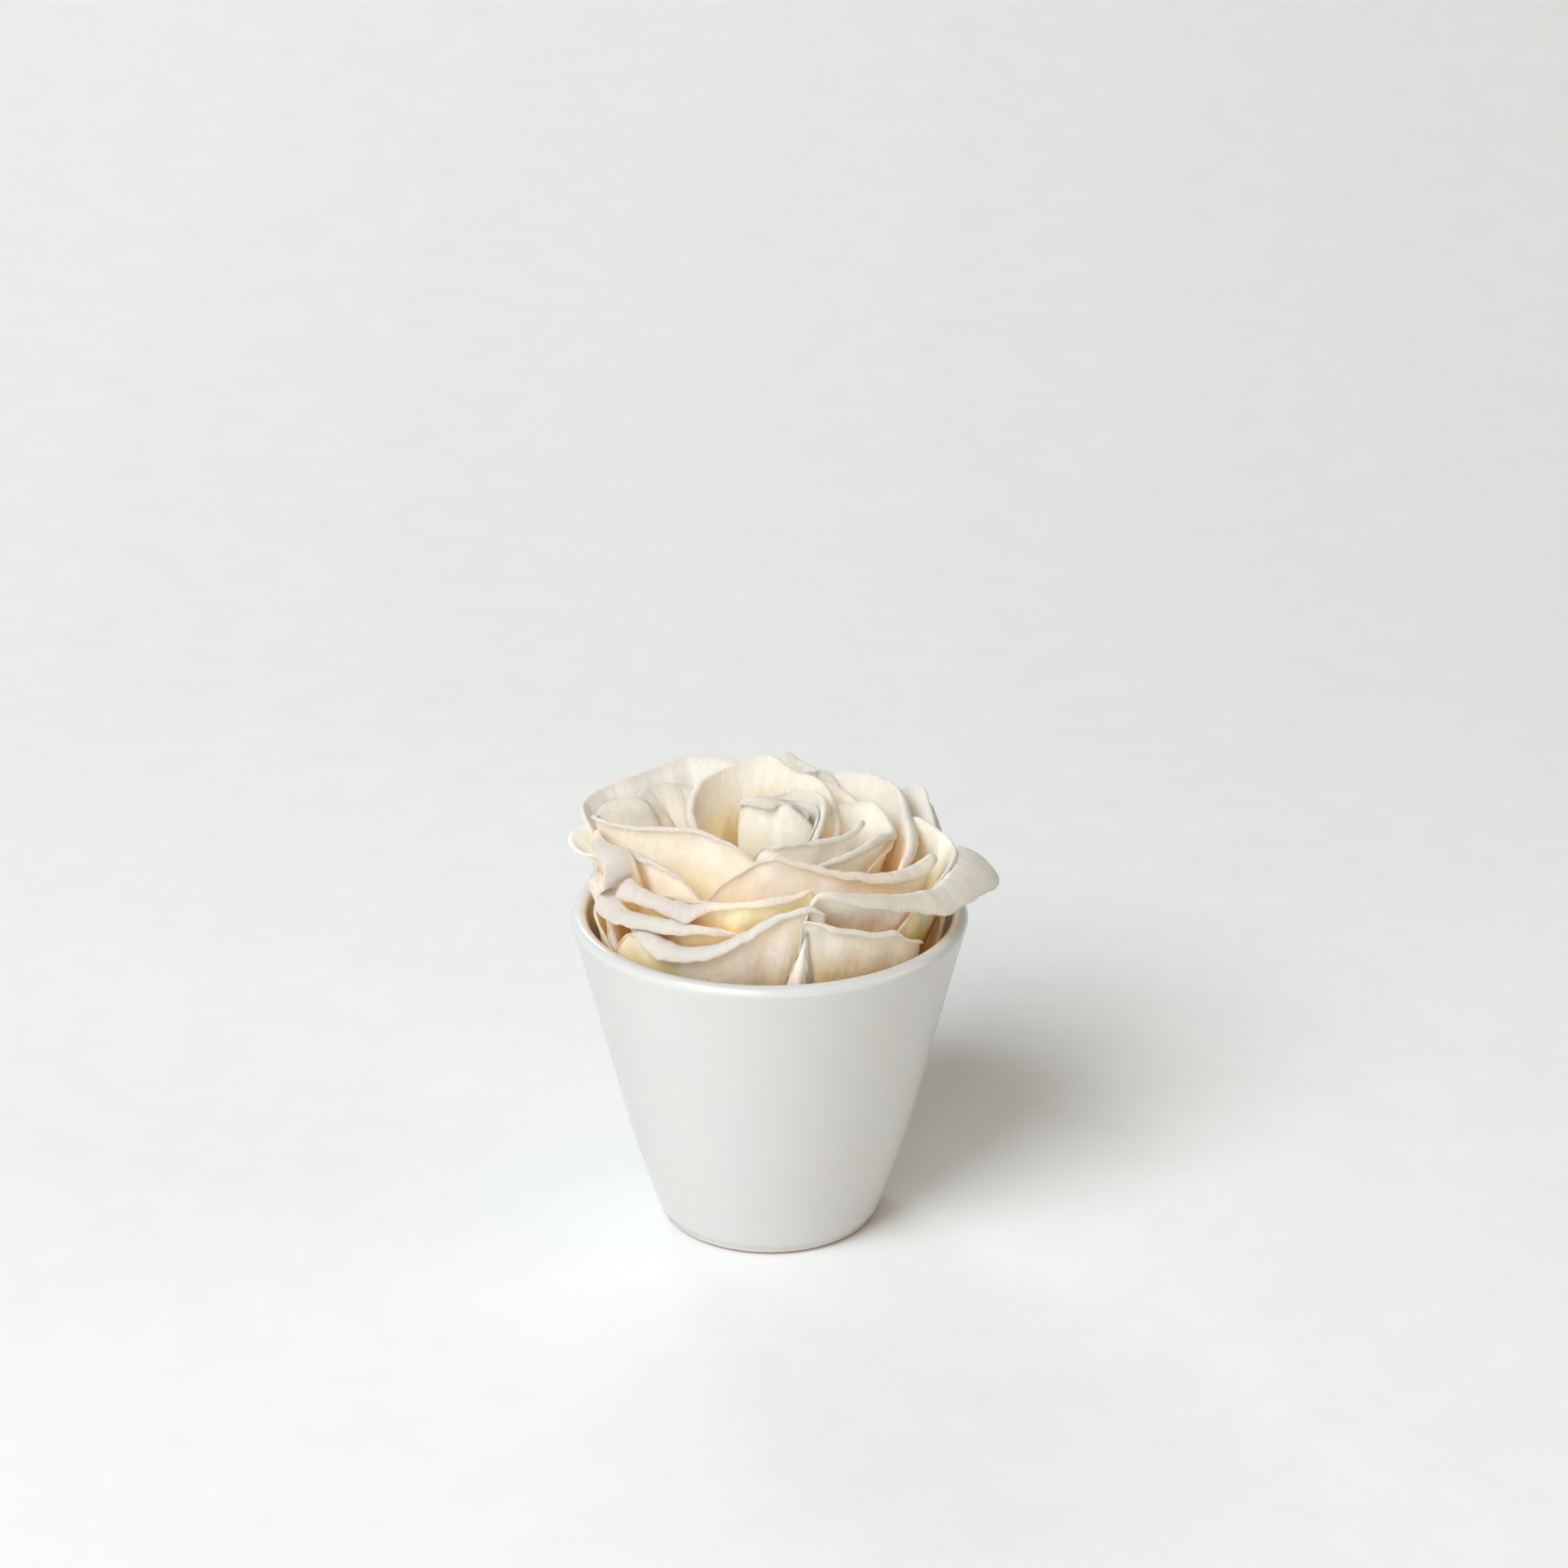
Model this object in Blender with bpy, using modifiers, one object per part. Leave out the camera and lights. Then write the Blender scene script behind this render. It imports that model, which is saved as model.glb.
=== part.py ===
# A preserved rose standing in a small glazed ceramic vase.
# Frame: +Z up, origin on the surface under the centre of the foot, the rose's best side towards -Y.
# Driving dimensions are in millimetres and degrees, and meshes are made in metres.
import math

import bmesh
import bpy
import numpy as np
from mathutils import Vector

MM = 0.001
MERGE = 0.00001

# Vase: a tapered pot with a soft lip that stands a little proud, and a flat foot. The wall's rings
# are heights, and below the belly the outside pulls in by BELLY_CURVE for each square millimetre.
VASE_HEIGHT = 67.5
VASE_RADIUS = 40.0
VASE_WALL = 3.3
VASE_TAPER = 0.2525
TAPER_TOP = 65.0
BELLY_TOP = 27.0
BELLY_CURVE = 0.0021
VASE_FLOOR = 4.5
LIP_PROUD = 0.25
LIP_STEP = (64.2, 60.0)
FOOT_ROUND = 1.6
INNER_ROUND = 7.0
INSIDE_RINGS = (18.0, 26.0, 42.0, 62.0)
OUTSIDE_RINGS = (44.0, 27.0, 21.0, 15.0, 9.0, 4.0)
VASE_STEPS = 48

# Foam: a plug of dry floral foam, with a plain blind hole for the stem
FOAM_TOP = 30.0
FOAM_DOME = 0.8
FOAM_SHOULDER = 0.7
FOAM_CLEARANCE = 0.4
FOAM_STEPS = 32
HOLE_BOTTOM = 10.0
HOLE_CLEARANCE = 0.3

# Stem with the calyx that carries the head: the calyx as (radius, height) from the top down, and
# sepals that spring from it, arch and hang
STEM_RADIUS = 2.4
CALYX_PROFILE = [(7.2, 41.0), (7.0, 39.5), (5.6, 37.4), (3.2, 35.2), (2.4, 34.0)]
STEM_STEPS = 20
SEPAL_COUNT = 5
SEPAL_TURN = 0.3
SEPAL_LENGTH = 17.0
SEPAL_WIDTH = 6.5
SEPAL_TAPER = 0.93
SEPAL_THICKNESS = 0.9
SEPAL_START = 4.5
SEPAL_RISE = 38.6
SEPAL_ARCH = 1.2
SEPAL_DROP = 5.0
SEPAL_SAG = 0.8
SEPAL_STEPS = 5

# Receptacle: the core that every petal grows from, as (radius, height) from the bottom up
CORE_PROFILE = [(7.4, 41.3), (11.0, 43.0), (13.0, 46.5), (12.0, 51.0), (7.5, 56.0), (5.0, 64.0), (3.6, 78.0)]
CORE_STEPS = 20

# Petals: each rim has stations of (azimuth, radius, height, width of the rolled lip), with azimuth 0
# at the front, 90 right, 180 at the back and 270 left. root is (radius, height) on the receptacle.
# lean is the tilt outwards just under the rim, and flare the tilt where the petal leaves its root,
# both from the vertical. belly and top are how far those two tilts reach along the petal, spread how
# much of the rim's angle the root keeps, droop the lip's final tilt, and centre moves the whole rim.
PETAL_THICKNESS = 0.7
PETAL_COLUMN_WIDTH = 10.0
PETAL_BODY_ROWS = (0.0, 0.42, 0.76, 1.0)
LIP_LEAST = 0.9
ROLL_RADIUS = (0.6, 1.0)
ROLL_SHARE = 0.45
LIP_TURN_EARLY = 0.6
LIP_STEPS = 12
RIM_SAMPLES = 20
AWAY_SHARE = 1.05
PETAL_SHAPE = dict(root=(5, 46), lean=20, flare=55, belly=0.42, top=0.42, spread=0.35,
                   droop=168, centre=(0, 0))
PETALS = {
    "budCore": dict(
        rim=[(20, 2.2, 84.5, 0.2), (60, 4.6, 84.6, 0.3), (82, 6.4, 85.8, 0.3), (104, 6.4, 87, 0.3),
             (130, 4.6, 87.6, 0.3), (170, 2.8, 87.4, 0.2)],
        root=(1.2, 47), lean=-5, flare=10, centre=(1, 1.5)),
    "budFront": dict(
        rim=[(-100, 5.6, 87, 0.3), (-76, 7.2, 88.9, 0.6), (-57, 8.4, 90.5, 1.2), (-43, 7.8, 91.6, 1.8),
             (-28, 6.7, 91.9, 2.5), (-10, 5.9, 91.5, 2.6), (8, 6.4, 91, 0.5), (21, 7.4, 90.4, 0.3),
             (34, 9, 88.2, 0.3), (46, 10.2, 85.6, 0.3), (58, 10.4, 81, 0.3)],
        root=(2.5, 46), lean=-28, flare=16, belly=0.34, top=0.1, spread=0.9, centre=(1.5, 4.5)),
    "budInner": dict(
        rim=[(56, 8.6, 83, 0.2), (72, 9.3, 85.8, 0.3), (92, 9.6, 87.5, 0.3), (110, 9.4, 88.2, 0.3),
             (126, 7.6, 88.6, 0.3), (138, 5.6, 89, 0.3), (150, 4, 89.4, 0.3), (175, 3, 89.4, 0.3)],
        root=(2.5, 46), lean=-5, flare=20),
    "budWrap": dict(
        rim=[(46, 10.5, 83, 0.4), (58, 10.9, 85.6, 1), (76, 10.8, 87.6, 1.2), (97, 11, 88.7, 1.3),
             (117, 11.8, 89.3, 1.1), (135, 11, 89.5, 0.6), (151, 9.4, 89.3, 0.3), (170, 7.5, 88.6, 0.3),
             (200, 7, 87.6, 0.3)],
        root=(3, 46), lean=5, flare=30),
    "hood": dict(
        rim=[(74, 12.8, 80, 0.4), (90, 13.5, 83.6, 0.6), (114, 14.3, 85.8, 0.9), (132, 16.3, 87.5, 0.8),
             (151, 19, 89, 0.5), (166, 19.5, 89.6, 0.3), (181, 20, 92.3, 0.3), (202, 18.6, 91.1, 0.4),
             (226, 17.3, 91, 0.8), (248, 16.3, 90, 1.3), (270, 15.8, 87.9, 1.5), (281, 15, 85.3, 1.4),
             (290, 14, 82, 0.8)],
        root=(4, 46), lean=8, flare=45),
    "front1": dict(
        rim=[(-24, 11, 79, 0.3), (-16, 11.5, 82.3, 0.3), (-8, 12.2, 85.2, 0.4), (3, 13, 86.1, 0.8),
             (22, 13.2, 86.5, 0.9), (38, 13.8, 86.2, 1), (54, 14.8, 85.9, 1.1), (70, 16.8, 86, 1.2),
             (86, 18.4, 86.6, 1), (94, 17.5, 84, 0.5)],
        root=(4, 46), lean=3, flare=45),
    "front2": dict(
        rim=[(22, 16, 79, 0.3), (35, 17, 82.4, 0.8), (51, 18.9, 83.5, 1.2), (67, 20.6, 84.3, 1.5),
             (80, 22.3, 84.6, 1.8), (91, 24.4, 83.9, 1.6), (99, 23.8, 84.9, 0.9),
             (107, 23.4, 85.9, 0.6), (115, 22.7, 86.4, 0.4), (119, 20.2, 86.1, 0.4), (122, 17, 86, 0.3),
             (124, 14.5, 85.5, 0.3)],
        root=(4.5, 46), lean=12, flare=50),
    "front3": dict(
        rim=[(-34, 23.5, 76, 0.3), (-27, 21, 80, 0.3), (-17, 18, 82.5, 0.4), (-8, 16.8, 84.4, 0.8),
             (3, 18, 85.9, 0.9), (14, 18.6, 85.1, 1.1), (27, 20.2, 83.9, 1.4), (39, 23, 82.6, 1.6),
             (50, 26, 81.6, 2), (60, 28.9, 81.2, 2.6), (69, 31.4, 81.7, 3), (75, 33.2, 82.4, 1.8),
             (80, 32.5, 81, 0.6)],
        root=(5, 46), lean=8, flare=55),
    "front4": dict(
        rim=[(-97, 34.5, 85.5, 0.4), (-91, 35, 86.9, 0.7), (-84, 31.5, 87, 0.7), (-77, 27.5, 87.4, 0.8),
             (-70, 22.3, 87.8, 0.9), (-58, 17.8, 88.3, 0.9), (-45, 15.6, 87.4, 0.8),
             (-30, 14.4, 86, 0.6), (-13, 14.8, 83.6, 0.5), (0, 14.5, 80, 0.3)],
        root=(5, 46), lean=12, flare=55),
    "front5": dict(
        rim=[(-82, 31.5, 82, 0.4), (-75, 31, 83.8, 0.9), (-68, 29.3, 84, 1.2), (-60, 27.4, 83.4, 1.1),
             (-51, 25.6, 82.3, 0.6), (-42, 24.5, 80.4, 0.4), (-34, 24, 77.6, 0.4), (-28, 23.5, 74, 0.3)],
        root=(5.5, 46), lean=14, flare=58),
    "front6": dict(
        rim=[(-60, 31.8, 80.5, 4.6), (-57, 32, 80.2, 4.4), (-50, 32, 80, 3.4), (-43, 31.8, 79.7, 3),
             (-36, 31.5, 79.5, 3.4), (-31.5, 31.3, 79.6, 4.1), (-27.5, 31.2, 79.8, 3.7), (-22, 31, 80.4, 1.8),
             (-11, 31, 81.4, 1.1), (0, 31, 82.4, 1.6), (9, 30.7, 83, 1.2), (15, 30.2, 83.4, 0.5),
             (20, 29, 80, 0.3)],
        root=(6, 45), lean=6, flare=62),
    "front7": dict(
        rim=[(12, 33.5, 79, 0.3), (14, 32.5, 81.5, 0.6), (18, 31.5, 83.2, 1.2), (27, 31.8, 82.4, 2.4),
             (39, 32.6, 80.8, 3.2), (52, 34, 79.2, 4.2), (62, 35.8, 78.3, 6.2), (68, 36.6, 78.3, 6.4),
             (75, 37.2, 78.8, 7.4), (84, 37.6, 79.7, 10.2), (92, 37.5, 80.2, 11.3)],
        root=(6, 45), lean=14, flare=62, droop=(170, 170, 172, 176, 175, 168, 158, 148, 148, 150)),
    "left1": dict(
        rim=[(-90, 34.6, 84, 0.8), (-83, 34.4, 85.6, 1.2), (-79.5, 33.6, 84.6, 2.6), (-69.5, 32.2, 85, 4.6),
             (-64, 31, 84.6, 6.4), (-61.7, 30.6, 81.6, 7), (-64, 31.2, 78.5, 6.4), (-65.5, 32.6, 77, 5.4),
             (-62.4, 33.6, 76, 5), (-57.7, 34, 75.1, 4), (-50.5, 34.2, 75.5, 3.4), (-42, 33.8, 76.1, 3),
             (-33, 33.4, 76.5, 3.2), (-25, 33.6, 76.4, 1.8), (-17, 34, 75.6, 1.4), (-9, 34.2, 74.6, 0.8)],
        root=(6.5, 45), lean=12, flare=66,
        droop=(150, 135, 120, 120, 125, 135, 150, 165, 168, 168, 168, 168)),
    "front9": dict(
        rim=[(-52, 34.4, 71, 0.6), (-47, 34.5, 73.2, 2.2), (-41, 34.5, 72.9, 3.8),
             (-35, 34.4, 72.3, 4.2), (-28, 34.3, 72, 3.4), (-20, 34.1, 73, 3), (-13, 33.8, 74.8, 2.6),
             (-6, 33.4, 77.2, 2.2), (1, 33, 79.4, 1.6), (7, 32.9, 80.4, 1.1), (13, 33, 81.4, 1.2),
             (19, 33, 79.5, 0.6)],
        root=(7, 44), lean=2, flare=70),
    "front10": dict(
        rim=[(12.6, 33.4, 68, 0.5), (11.8, 33.5, 73, 0.5), (11, 33.6, 78.2, 0.4), (16, 33.8, 78, 0.5),
             (21, 34, 77, 1.2), (31, 34.2, 75, 1.2), (41, 34.3, 73.1, 1.2), (45.5, 34.5, 72.7, 1.1),
             (52, 34.7, 69.8, 0.8), (59, 34.8, 68, 0.8)],
        root=(7.5, 44), lean=2, flare=74),
    "front11": dict(
        rim=[(-66, 33.6, 62, 0.3), (-61, 34.4, 66, 0.3), (-55, 34.8, 69.6, 0.4), (-49, 34.7, 72, 0.4),
             (-41, 34.2, 72.2, 0.4), (-32, 33, 70.6, 0.4), (-23, 30, 66.5, 0.4), (-16, 26.5, 61, 0.3)],
        root=(7.5, 44), lean=0, flare=76),
    "facet": dict(
        rim=[(3, 31.2, 60, 0.3), (5.5, 31.9, 64.5, 0.3), (9, 32.8, 69, 0.3), (12.4, 33.6, 73, 0.3),
             (14.2, 33.8, 69, 0.3), (15.5, 33.7, 64, 0.3), (16.5, 33.3, 60, 0.3)],
        root=(8, 44), lean=-6, flare=76),
    "gapLeft": dict(
        rim=[(-125, 33.4, 60, 0.3), (-112, 34.6, 64.5, 0.4), (-98, 35, 66.5, 0.4), (-85, 35, 67, 0.4),
             (-75, 34.7, 66.5, 0.4), (-66, 34.2, 64, 0.4), (-60, 33.4, 60, 0.3)],
        root=(7.5, 44), lean=10, flare=74),
    "leftLow": dict(
        rim=[(-112, 32, 70, 0.4), (-103, 33, 73, 1.2), (-92, 33.8, 75, 2.2), (-83, 34, 74.2, 2.4),
             (-75, 34, 73.2, 2), (-69, 34.2, 72, 1), (-67.5, 34.5, 69, 0.4), (-69, 34, 64, 0.3)],
        root=(7, 44), lean=12, flare=72, droop=125),
    "leftTip": dict(
        rim=[(-106, 34, 81, 0.4), (-100, 36.4, 83, 0.6), (-93.5, 38, 83.6, 0.7), (-90, 39.4, 83.3, 0.8),
             (-86, 39.5, 82.6, 0.8), (-79, 37.6, 82.2, 0.6), (-74.5, 35.5, 82.6, 0.5),
             (-69, 34, 82.8, 0.4)],
        root=(6.5, 45), lean=52, flare=64, droop=170),
    "leftMid": dict(
        rim=[(247, 25.2, 83.5, 0.3), (249.2, 26.2, 86.4, 0.4), (250.9, 27.5, 87.6, 0.4),
             (252.9, 28.9, 87.8, 0.4), (256, 31, 87.8, 0.4), (259.8, 33.8, 87.1, 0.4),
             (263, 34.9, 85, 0.4), (267, 34.6, 81.5, 0.3)],
        root=(5, 46), lean=30, flare=55, top=0.5),
    "leftInner": dict(
        rim=[(206, 20, 82, 0.3), (211, 22, 83.6, 0.3), (217, 25, 85.2, 0.3), (225.5, 27.5, 86.4, 0.3),
             (233.5, 29.5, 86.8, 0.3), (242.6, 29.8, 86.2, 0.3), (250, 29.4, 84, 0.3), (256, 28.5, 81, 0.3)],
        root=(5, 46), lean=52, flare=50, top=0.5),
    "backLeft": dict(
        rim=[(172, 30.5, 82, 0.3), (181, 32.6, 85.9, 0.4), (189, 34.2, 85.4, 0.4), (196, 35, 86.6, 0.4),
             (207, 35.6, 87.6, 0.4), (219, 34.8, 87.3, 0.4), (233, 34.8, 87.4, 0.5),
             (247, 37.6, 87, 0.6), (255, 38.4, 86.8, 0.7), (262, 38, 86.5, 0.6), (270, 35.8, 84.6, 0.5),
             (276, 33.5, 80, 0.4)],
        root=(6, 45), lean=32, flare=58),
    "backTip": dict(
        rim=[(149, 28.5, 83, 0.3), (156, 29.6, 85.6, 0.3), (163, 30.4, 86.2, 0.3),
             (168.5, 30.6, 87.5, 0.3), (173, 30.2, 89.2, 0.3), (177, 29.2, 88, 0.3),
             (185, 28, 87.2, 0.3), (194, 27.5, 84, 0.3)],
        root=(5.5, 45), lean=18, flare=55),
    "backRight": dict(
        rim=[(70, 26.3, 76, 0.4), (77, 27, 79, 1.2), (87, 28, 80.8, 2), (97, 28.6, 82.2, 2.2),
             (109, 29.2, 83.6, 2.2), (120, 31, 85.4, 1.6), (129, 32.2, 86, 0.7), (140, 32.4, 86.3, 0.4),
             (149, 31.8, 86, 0.4), (157, 30.6, 85.7, 0.3), (164, 29.2, 85.4, 0.3), (170, 27.6, 84, 0.3)],
        root=(5.5, 45), lean=15, flare=55),
    "behindRight": dict(
        rim=[(94, 33.5, 77, 0.4), (100, 34.6, 80.2, 0.4), (108, 35, 81, 0.4), (116, 36, 83, 0.4),
             (124, 37.4, 85.1, 0.4), (131, 36, 83.4, 0.4), (140, 34.5, 80, 0.4)],
        root=(6.5, 45), lean=25, flare=62),
    "right6": dict(
        rim=[(60, 33, 73, 0.4), (68, 34.8, 77.2, 0.5), (77, 36.4, 79.3, 0.6), (85, 37, 80.5, 0.6),
             (92, 36.6, 80.7, 0.5), (98, 35.2, 81.3, 0.4), (103, 33.4, 82.2, 0.4), (108, 31, 83, 0.3),
             (113, 28.5, 82, 0.3)],
        root=(6, 45), lean=28, flare=60),
    "rightIn": dict(
        rim=[(50, 32.5, 71, 0.4), (57, 34, 75, 0.4), (66, 35, 76.5, 0.4), (76, 35.5, 76.8, 0.4),
             (84, 35.7, 75, 0.4), (85, 35.5, 70.5, 0.4), (80, 34.9, 66, 0.4), (75, 33.9, 61, 0.4)],
        root=(7, 44), lean=12, flare=72),
    "mid1": dict(
        rim=[(120, 22.5, 80, 0.3), (132, 24, 83.5, 0.4), (148, 25, 85, 0.4), (165, 25.3, 85.4, 0.4),
             (182, 25, 85.2, 0.4), (198, 24, 84.2, 0.4), (208, 22.8, 80, 0.3)],
        root=(5, 46), lean=18, flare=52),
    "mid2": dict(
        rim=[(205, 23.5, 70, 0.3), (216, 25, 74.5, 0.4), (232, 26, 76, 0.4), (248, 25.5, 76.2, 0.4),
             (262, 24, 75.2, 0.4), (274, 22.5, 72, 0.3)],
        root=(5, 46), lean=18, flare=52),
    "mid4": dict(
        rim=[(60, 20, 77, 0.3), (72, 22, 80, 0.4), (86, 24, 81.3, 0.5), (100, 25, 81.8, 0.5),
             (114, 25, 81.5, 0.4), (124, 24, 78, 0.3)],
        root=(5, 46), lean=18, flare=54),
    "mid5": dict(
        rim=[(-60, 25, 74, 0.3), (-48, 26.5, 77.5, 0.6), (-34, 27, 78.6, 1), (-18, 27, 79, 1),
             (-4, 26.8, 79.4, 1), (8, 26, 77, 0.4)],
        root=(5.5, 45), lean=20, flare=58, spread=0.6),
    "mid6": dict(
        rim=[(-6, 24.5, 74, 0.3), (8, 25.8, 78.2, 0.8), (24, 26.8, 78.8, 1), (40, 28, 77.8, 1),
             (55, 29, 77, 1), (66, 28.5, 74, 0.4)],
        root=(5.5, 45), lean=20, flare=58, spread=0.6),
    "outer1": dict(
        rim=[(100, 33.4, 73, 0.4), (108, 35.8, 77.6, 1.4), (118, 37.6, 79.4, 2.6),
             (127, 38.8, 81.6, 3.4), (137, 38, 80.6, 2.2), (147, 37.4, 79.2, 1.4),
             (156, 35.4, 75.6, 0.8), (161, 33.8, 72, 0.4)],
        root=(6.5, 45), lean=40, flare=62),
    "outer2": dict(
        rim=[(147, 34, 72, 0.4), (154, 36.4, 77, 1.2), (163, 37.6, 79, 1.8), (173, 38.8, 82.2, 3.2),
             (182, 37.4, 81.2, 2), (193, 38.2, 80.6, 2.4), (204, 36.8, 77.4, 1.4), (211, 34.8, 73.4, 0.6)],
        root=(6.5, 45), lean=33, flare=62),
    "outer3": dict(
        rim=[(203, 33.6, 71, 0.4), (211, 35.6, 75.6, 0.8), (220, 37.4, 79.6, 2.6), (229, 37.2, 79, 1.6),
             (239, 38.8, 81.2, 3), (248, 38, 78.8, 1.6), (257, 36.4, 76, 1), (263, 34.6, 72, 0.5)],
        root=(6.5, 45), lean=38, flare=62),
    "low1": dict(
        rim=[(82, 33.6, 65, 0.3), (92, 34.4, 69.5, 0.8), (103, 35.2, 73.8, 1.6), (116, 34.6, 72.6, 0.8),
             (128, 35.4, 74.6, 1.6), (139, 34.4, 71.4, 0.6), (147, 33.6, 67, 0.4)],
        root=(7, 44), lean=22, flare=72),
    "low2": dict(
        rim=[(140, 33.8, 66, 0.3), (151, 35, 71.4, 1.2), (163, 34.8, 73.2, 0.8), (177, 35.6, 76, 1.8),
             (189, 34.8, 73.6, 1), (201, 34.6, 71.6, 0.6), (210, 33.6, 66.5, 0.3)],
        root=(7, 44), lean=18, flare=72),
    "low3": dict(
        rim=[(203, 33.6, 66, 0.3), (213, 34.4, 70.2, 0.5), (225, 35.4, 75.2, 1.8), (238, 34.8, 72.8, 0.8),
             (248, 34.8, 73.4, 1), (258, 33.8, 67.5, 0.4)],
        root=(7, 44), lean=21, flare=72),
}

COLOURS = {
    "vase": ((0.80, 0.80, 0.79), 0.22),
    "foam": ((0.19, 0.26, 0.12), 0.95),
    "stem": ((0.16, 0.24, 0.07), 0.60),
    "bloom": ((0.86, 0.78, 0.66), 0.65),
}


def clear_scene():
    for thing in list(bpy.data.objects):
        bpy.data.objects.remove(thing)


def make_collection(name):
    collection = bpy.data.collections.new(name)
    bpy.context.scene.collection.children.link(collection)
    return collection


def add_object(name, mesh, collection):
    thing = bpy.data.objects.new(name, mesh)
    collection.objects.link(thing)
    return thing


def give_material(thing, name):
    colour, roughness = COLOURS[name]
    material = bpy.data.materials.new(name)
    material.use_nodes = True
    shader = material.node_tree.nodes["Principled BSDF"]
    shader.inputs["Base Color"].default_value = (*colour, 1.0)
    shader.inputs["Roughness"].default_value = roughness
    shader.inputs["Metallic"].default_value = 0.0
    thing.data.materials.clear()
    thing.data.materials.append(material)


def shade(thing, angle=40.0):
    thing.data.shade_smooth()
    thing.data.set_sharp_from_angle(angle=math.radians(angle))


def turned(name, profile, steps, collection):
    """A solid of revolution from (radius, height) points that start and end on the axis."""
    mesh = bpy.data.meshes.new(name)
    points = [(radius * MM, 0.0, height * MM) for radius, height in profile]
    mesh.from_pydata(points, [(i, i + 1) for i in range(len(points) - 1)], [])
    thing = add_object(name, mesh, collection)
    screw = thing.modifiers.new("turn", "SCREW")
    screw.axis = "Z"
    screw.steps = steps
    screw.render_steps = steps
    screw.use_merge_vertices = True
    screw.merge_threshold = MERGE
    return thing


def apply_modifiers(thing):
    bpy.context.view_layer.update()
    evaluated = thing.evaluated_get(bpy.context.evaluated_depsgraph_get())
    solid = bpy.data.meshes.new_from_object(evaluated)
    thing.modifiers.clear()
    thing.data = solid


def arc(centre, radius, start, end, count):
    """Points of an arc in the profile plane, with angles from the +radius direction."""
    angles = [math.radians(start + (end - start) * i / count) for i in range(count + 1)]
    return [(centre[0] + radius * math.cos(a), centre[1] + radius * math.sin(a)) for a in angles]


def vase_outside(height):
    """Outer radius of the pot under its lip: a straight taper that pulls in towards the foot."""
    radius = VASE_RADIUS - LIP_PROUD - VASE_TAPER * (TAPER_TOP - height)
    if height < BELLY_TOP:
        radius -= BELLY_CURVE * (BELLY_TOP - height) ** 2
    return radius


def vase_inside(height):
    return vase_outside(height) + LIP_PROUD - VASE_WALL


def inner_corner():
    """Centre of the round between the pot's floor and its inner wall."""
    height = VASE_FLOOR + INNER_ROUND
    return vase_inside(height) - INNER_ROUND, height


def vase_profile():
    lip = VASE_WALL / 2
    foot = vase_outside(0.0) - FOOT_ROUND
    profile = [(0.0, VASE_FLOOR)]
    profile += arc(inner_corner(), INNER_ROUND, -90.0, 0.0, 5)
    profile += [(vase_inside(z), z) for z in INSIDE_RINGS]
    profile += arc((VASE_RADIUS - lip, VASE_HEIGHT - lip), lip, 180.0, 0.0, 8)
    profile += [(VASE_RADIUS, LIP_STEP[0]), (vase_outside(LIP_STEP[1]), LIP_STEP[1])]
    profile += [(vase_outside(z), z) for z in OUTSIDE_RINGS]
    profile += arc((foot, FOOT_ROUND), FOOT_ROUND, 0.0, -90.0, 3)
    profile += [(0.0, 0.0)]
    return profile


def make_vase(collection):
    vase = turned("vase", vase_profile(), VASE_STEPS, collection)
    apply_modifiers(vase)
    shade(vase)
    give_material(vase, "vase")


def make_foam(collection):
    hole = STEM_RADIUS + HOLE_CLEARANCE
    shoulder = FOAM_SHOULDER * vase_inside(FOAM_TOP)
    profile = [(0.0, HOLE_BOTTOM), (hole, HOLE_BOTTOM), (hole, FOAM_TOP + FOAM_DOME)]
    profile += [(shoulder, FOAM_TOP + FOAM_DOME / 2)]
    profile += [(vase_inside(z) - FOAM_CLEARANCE, z) for z in (FOAM_TOP, BELLY_TOP, INSIDE_RINGS[0])]
    profile += arc(inner_corner(), INNER_ROUND - FOAM_CLEARANCE, 0.0, -90.0, 3)
    profile += [(0.0, VASE_FLOOR + FOAM_CLEARANCE)]
    foam = turned("foam", profile, FOAM_STEPS, collection)
    apply_modifiers(foam)
    shade(foam)
    give_material(foam, "foam")


def triangle_sheet(name, rows, collection):
    """An open sheet through rows of points in millimetres, split into triangles."""
    sheet = bmesh.new()
    grid = [[sheet.verts.new(Vector(point) * MM) for point in row] for row in rows]
    for low, high in zip(grid, grid[1:]):
        for i in range(len(low) - 1):
            sheet.faces.new((low[i], low[i + 1], high[i + 1], high[i]))
    bmesh.ops.triangulate(sheet, faces=sheet.faces[:])
    mesh = bpy.data.meshes.new(name)
    sheet.to_mesh(mesh)
    sheet.free()
    return add_object(name, mesh, collection)


def thicken(sheet, thickness):
    solid = sheet.modifiers.new("thickness", "SOLIDIFY")
    solid.thickness = thickness * MM
    solid.offset = 0.0


def join_collection(body, collection):
    """Unites body with every object of the collection, then keeps the outer surface of the result."""
    union = body.modifiers.new("grown together", "BOOLEAN")
    union.operation = "UNION"
    union.solver = "EXACT"
    union.operand_type = "COLLECTION"
    union.collection = collection
    union.use_self = True
    apply_modifiers(body)
    for thing in list(collection.objects):
        bpy.data.objects.remove(thing)
    bpy.data.collections.remove(collection)
    keep_largest_shell(body)


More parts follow.
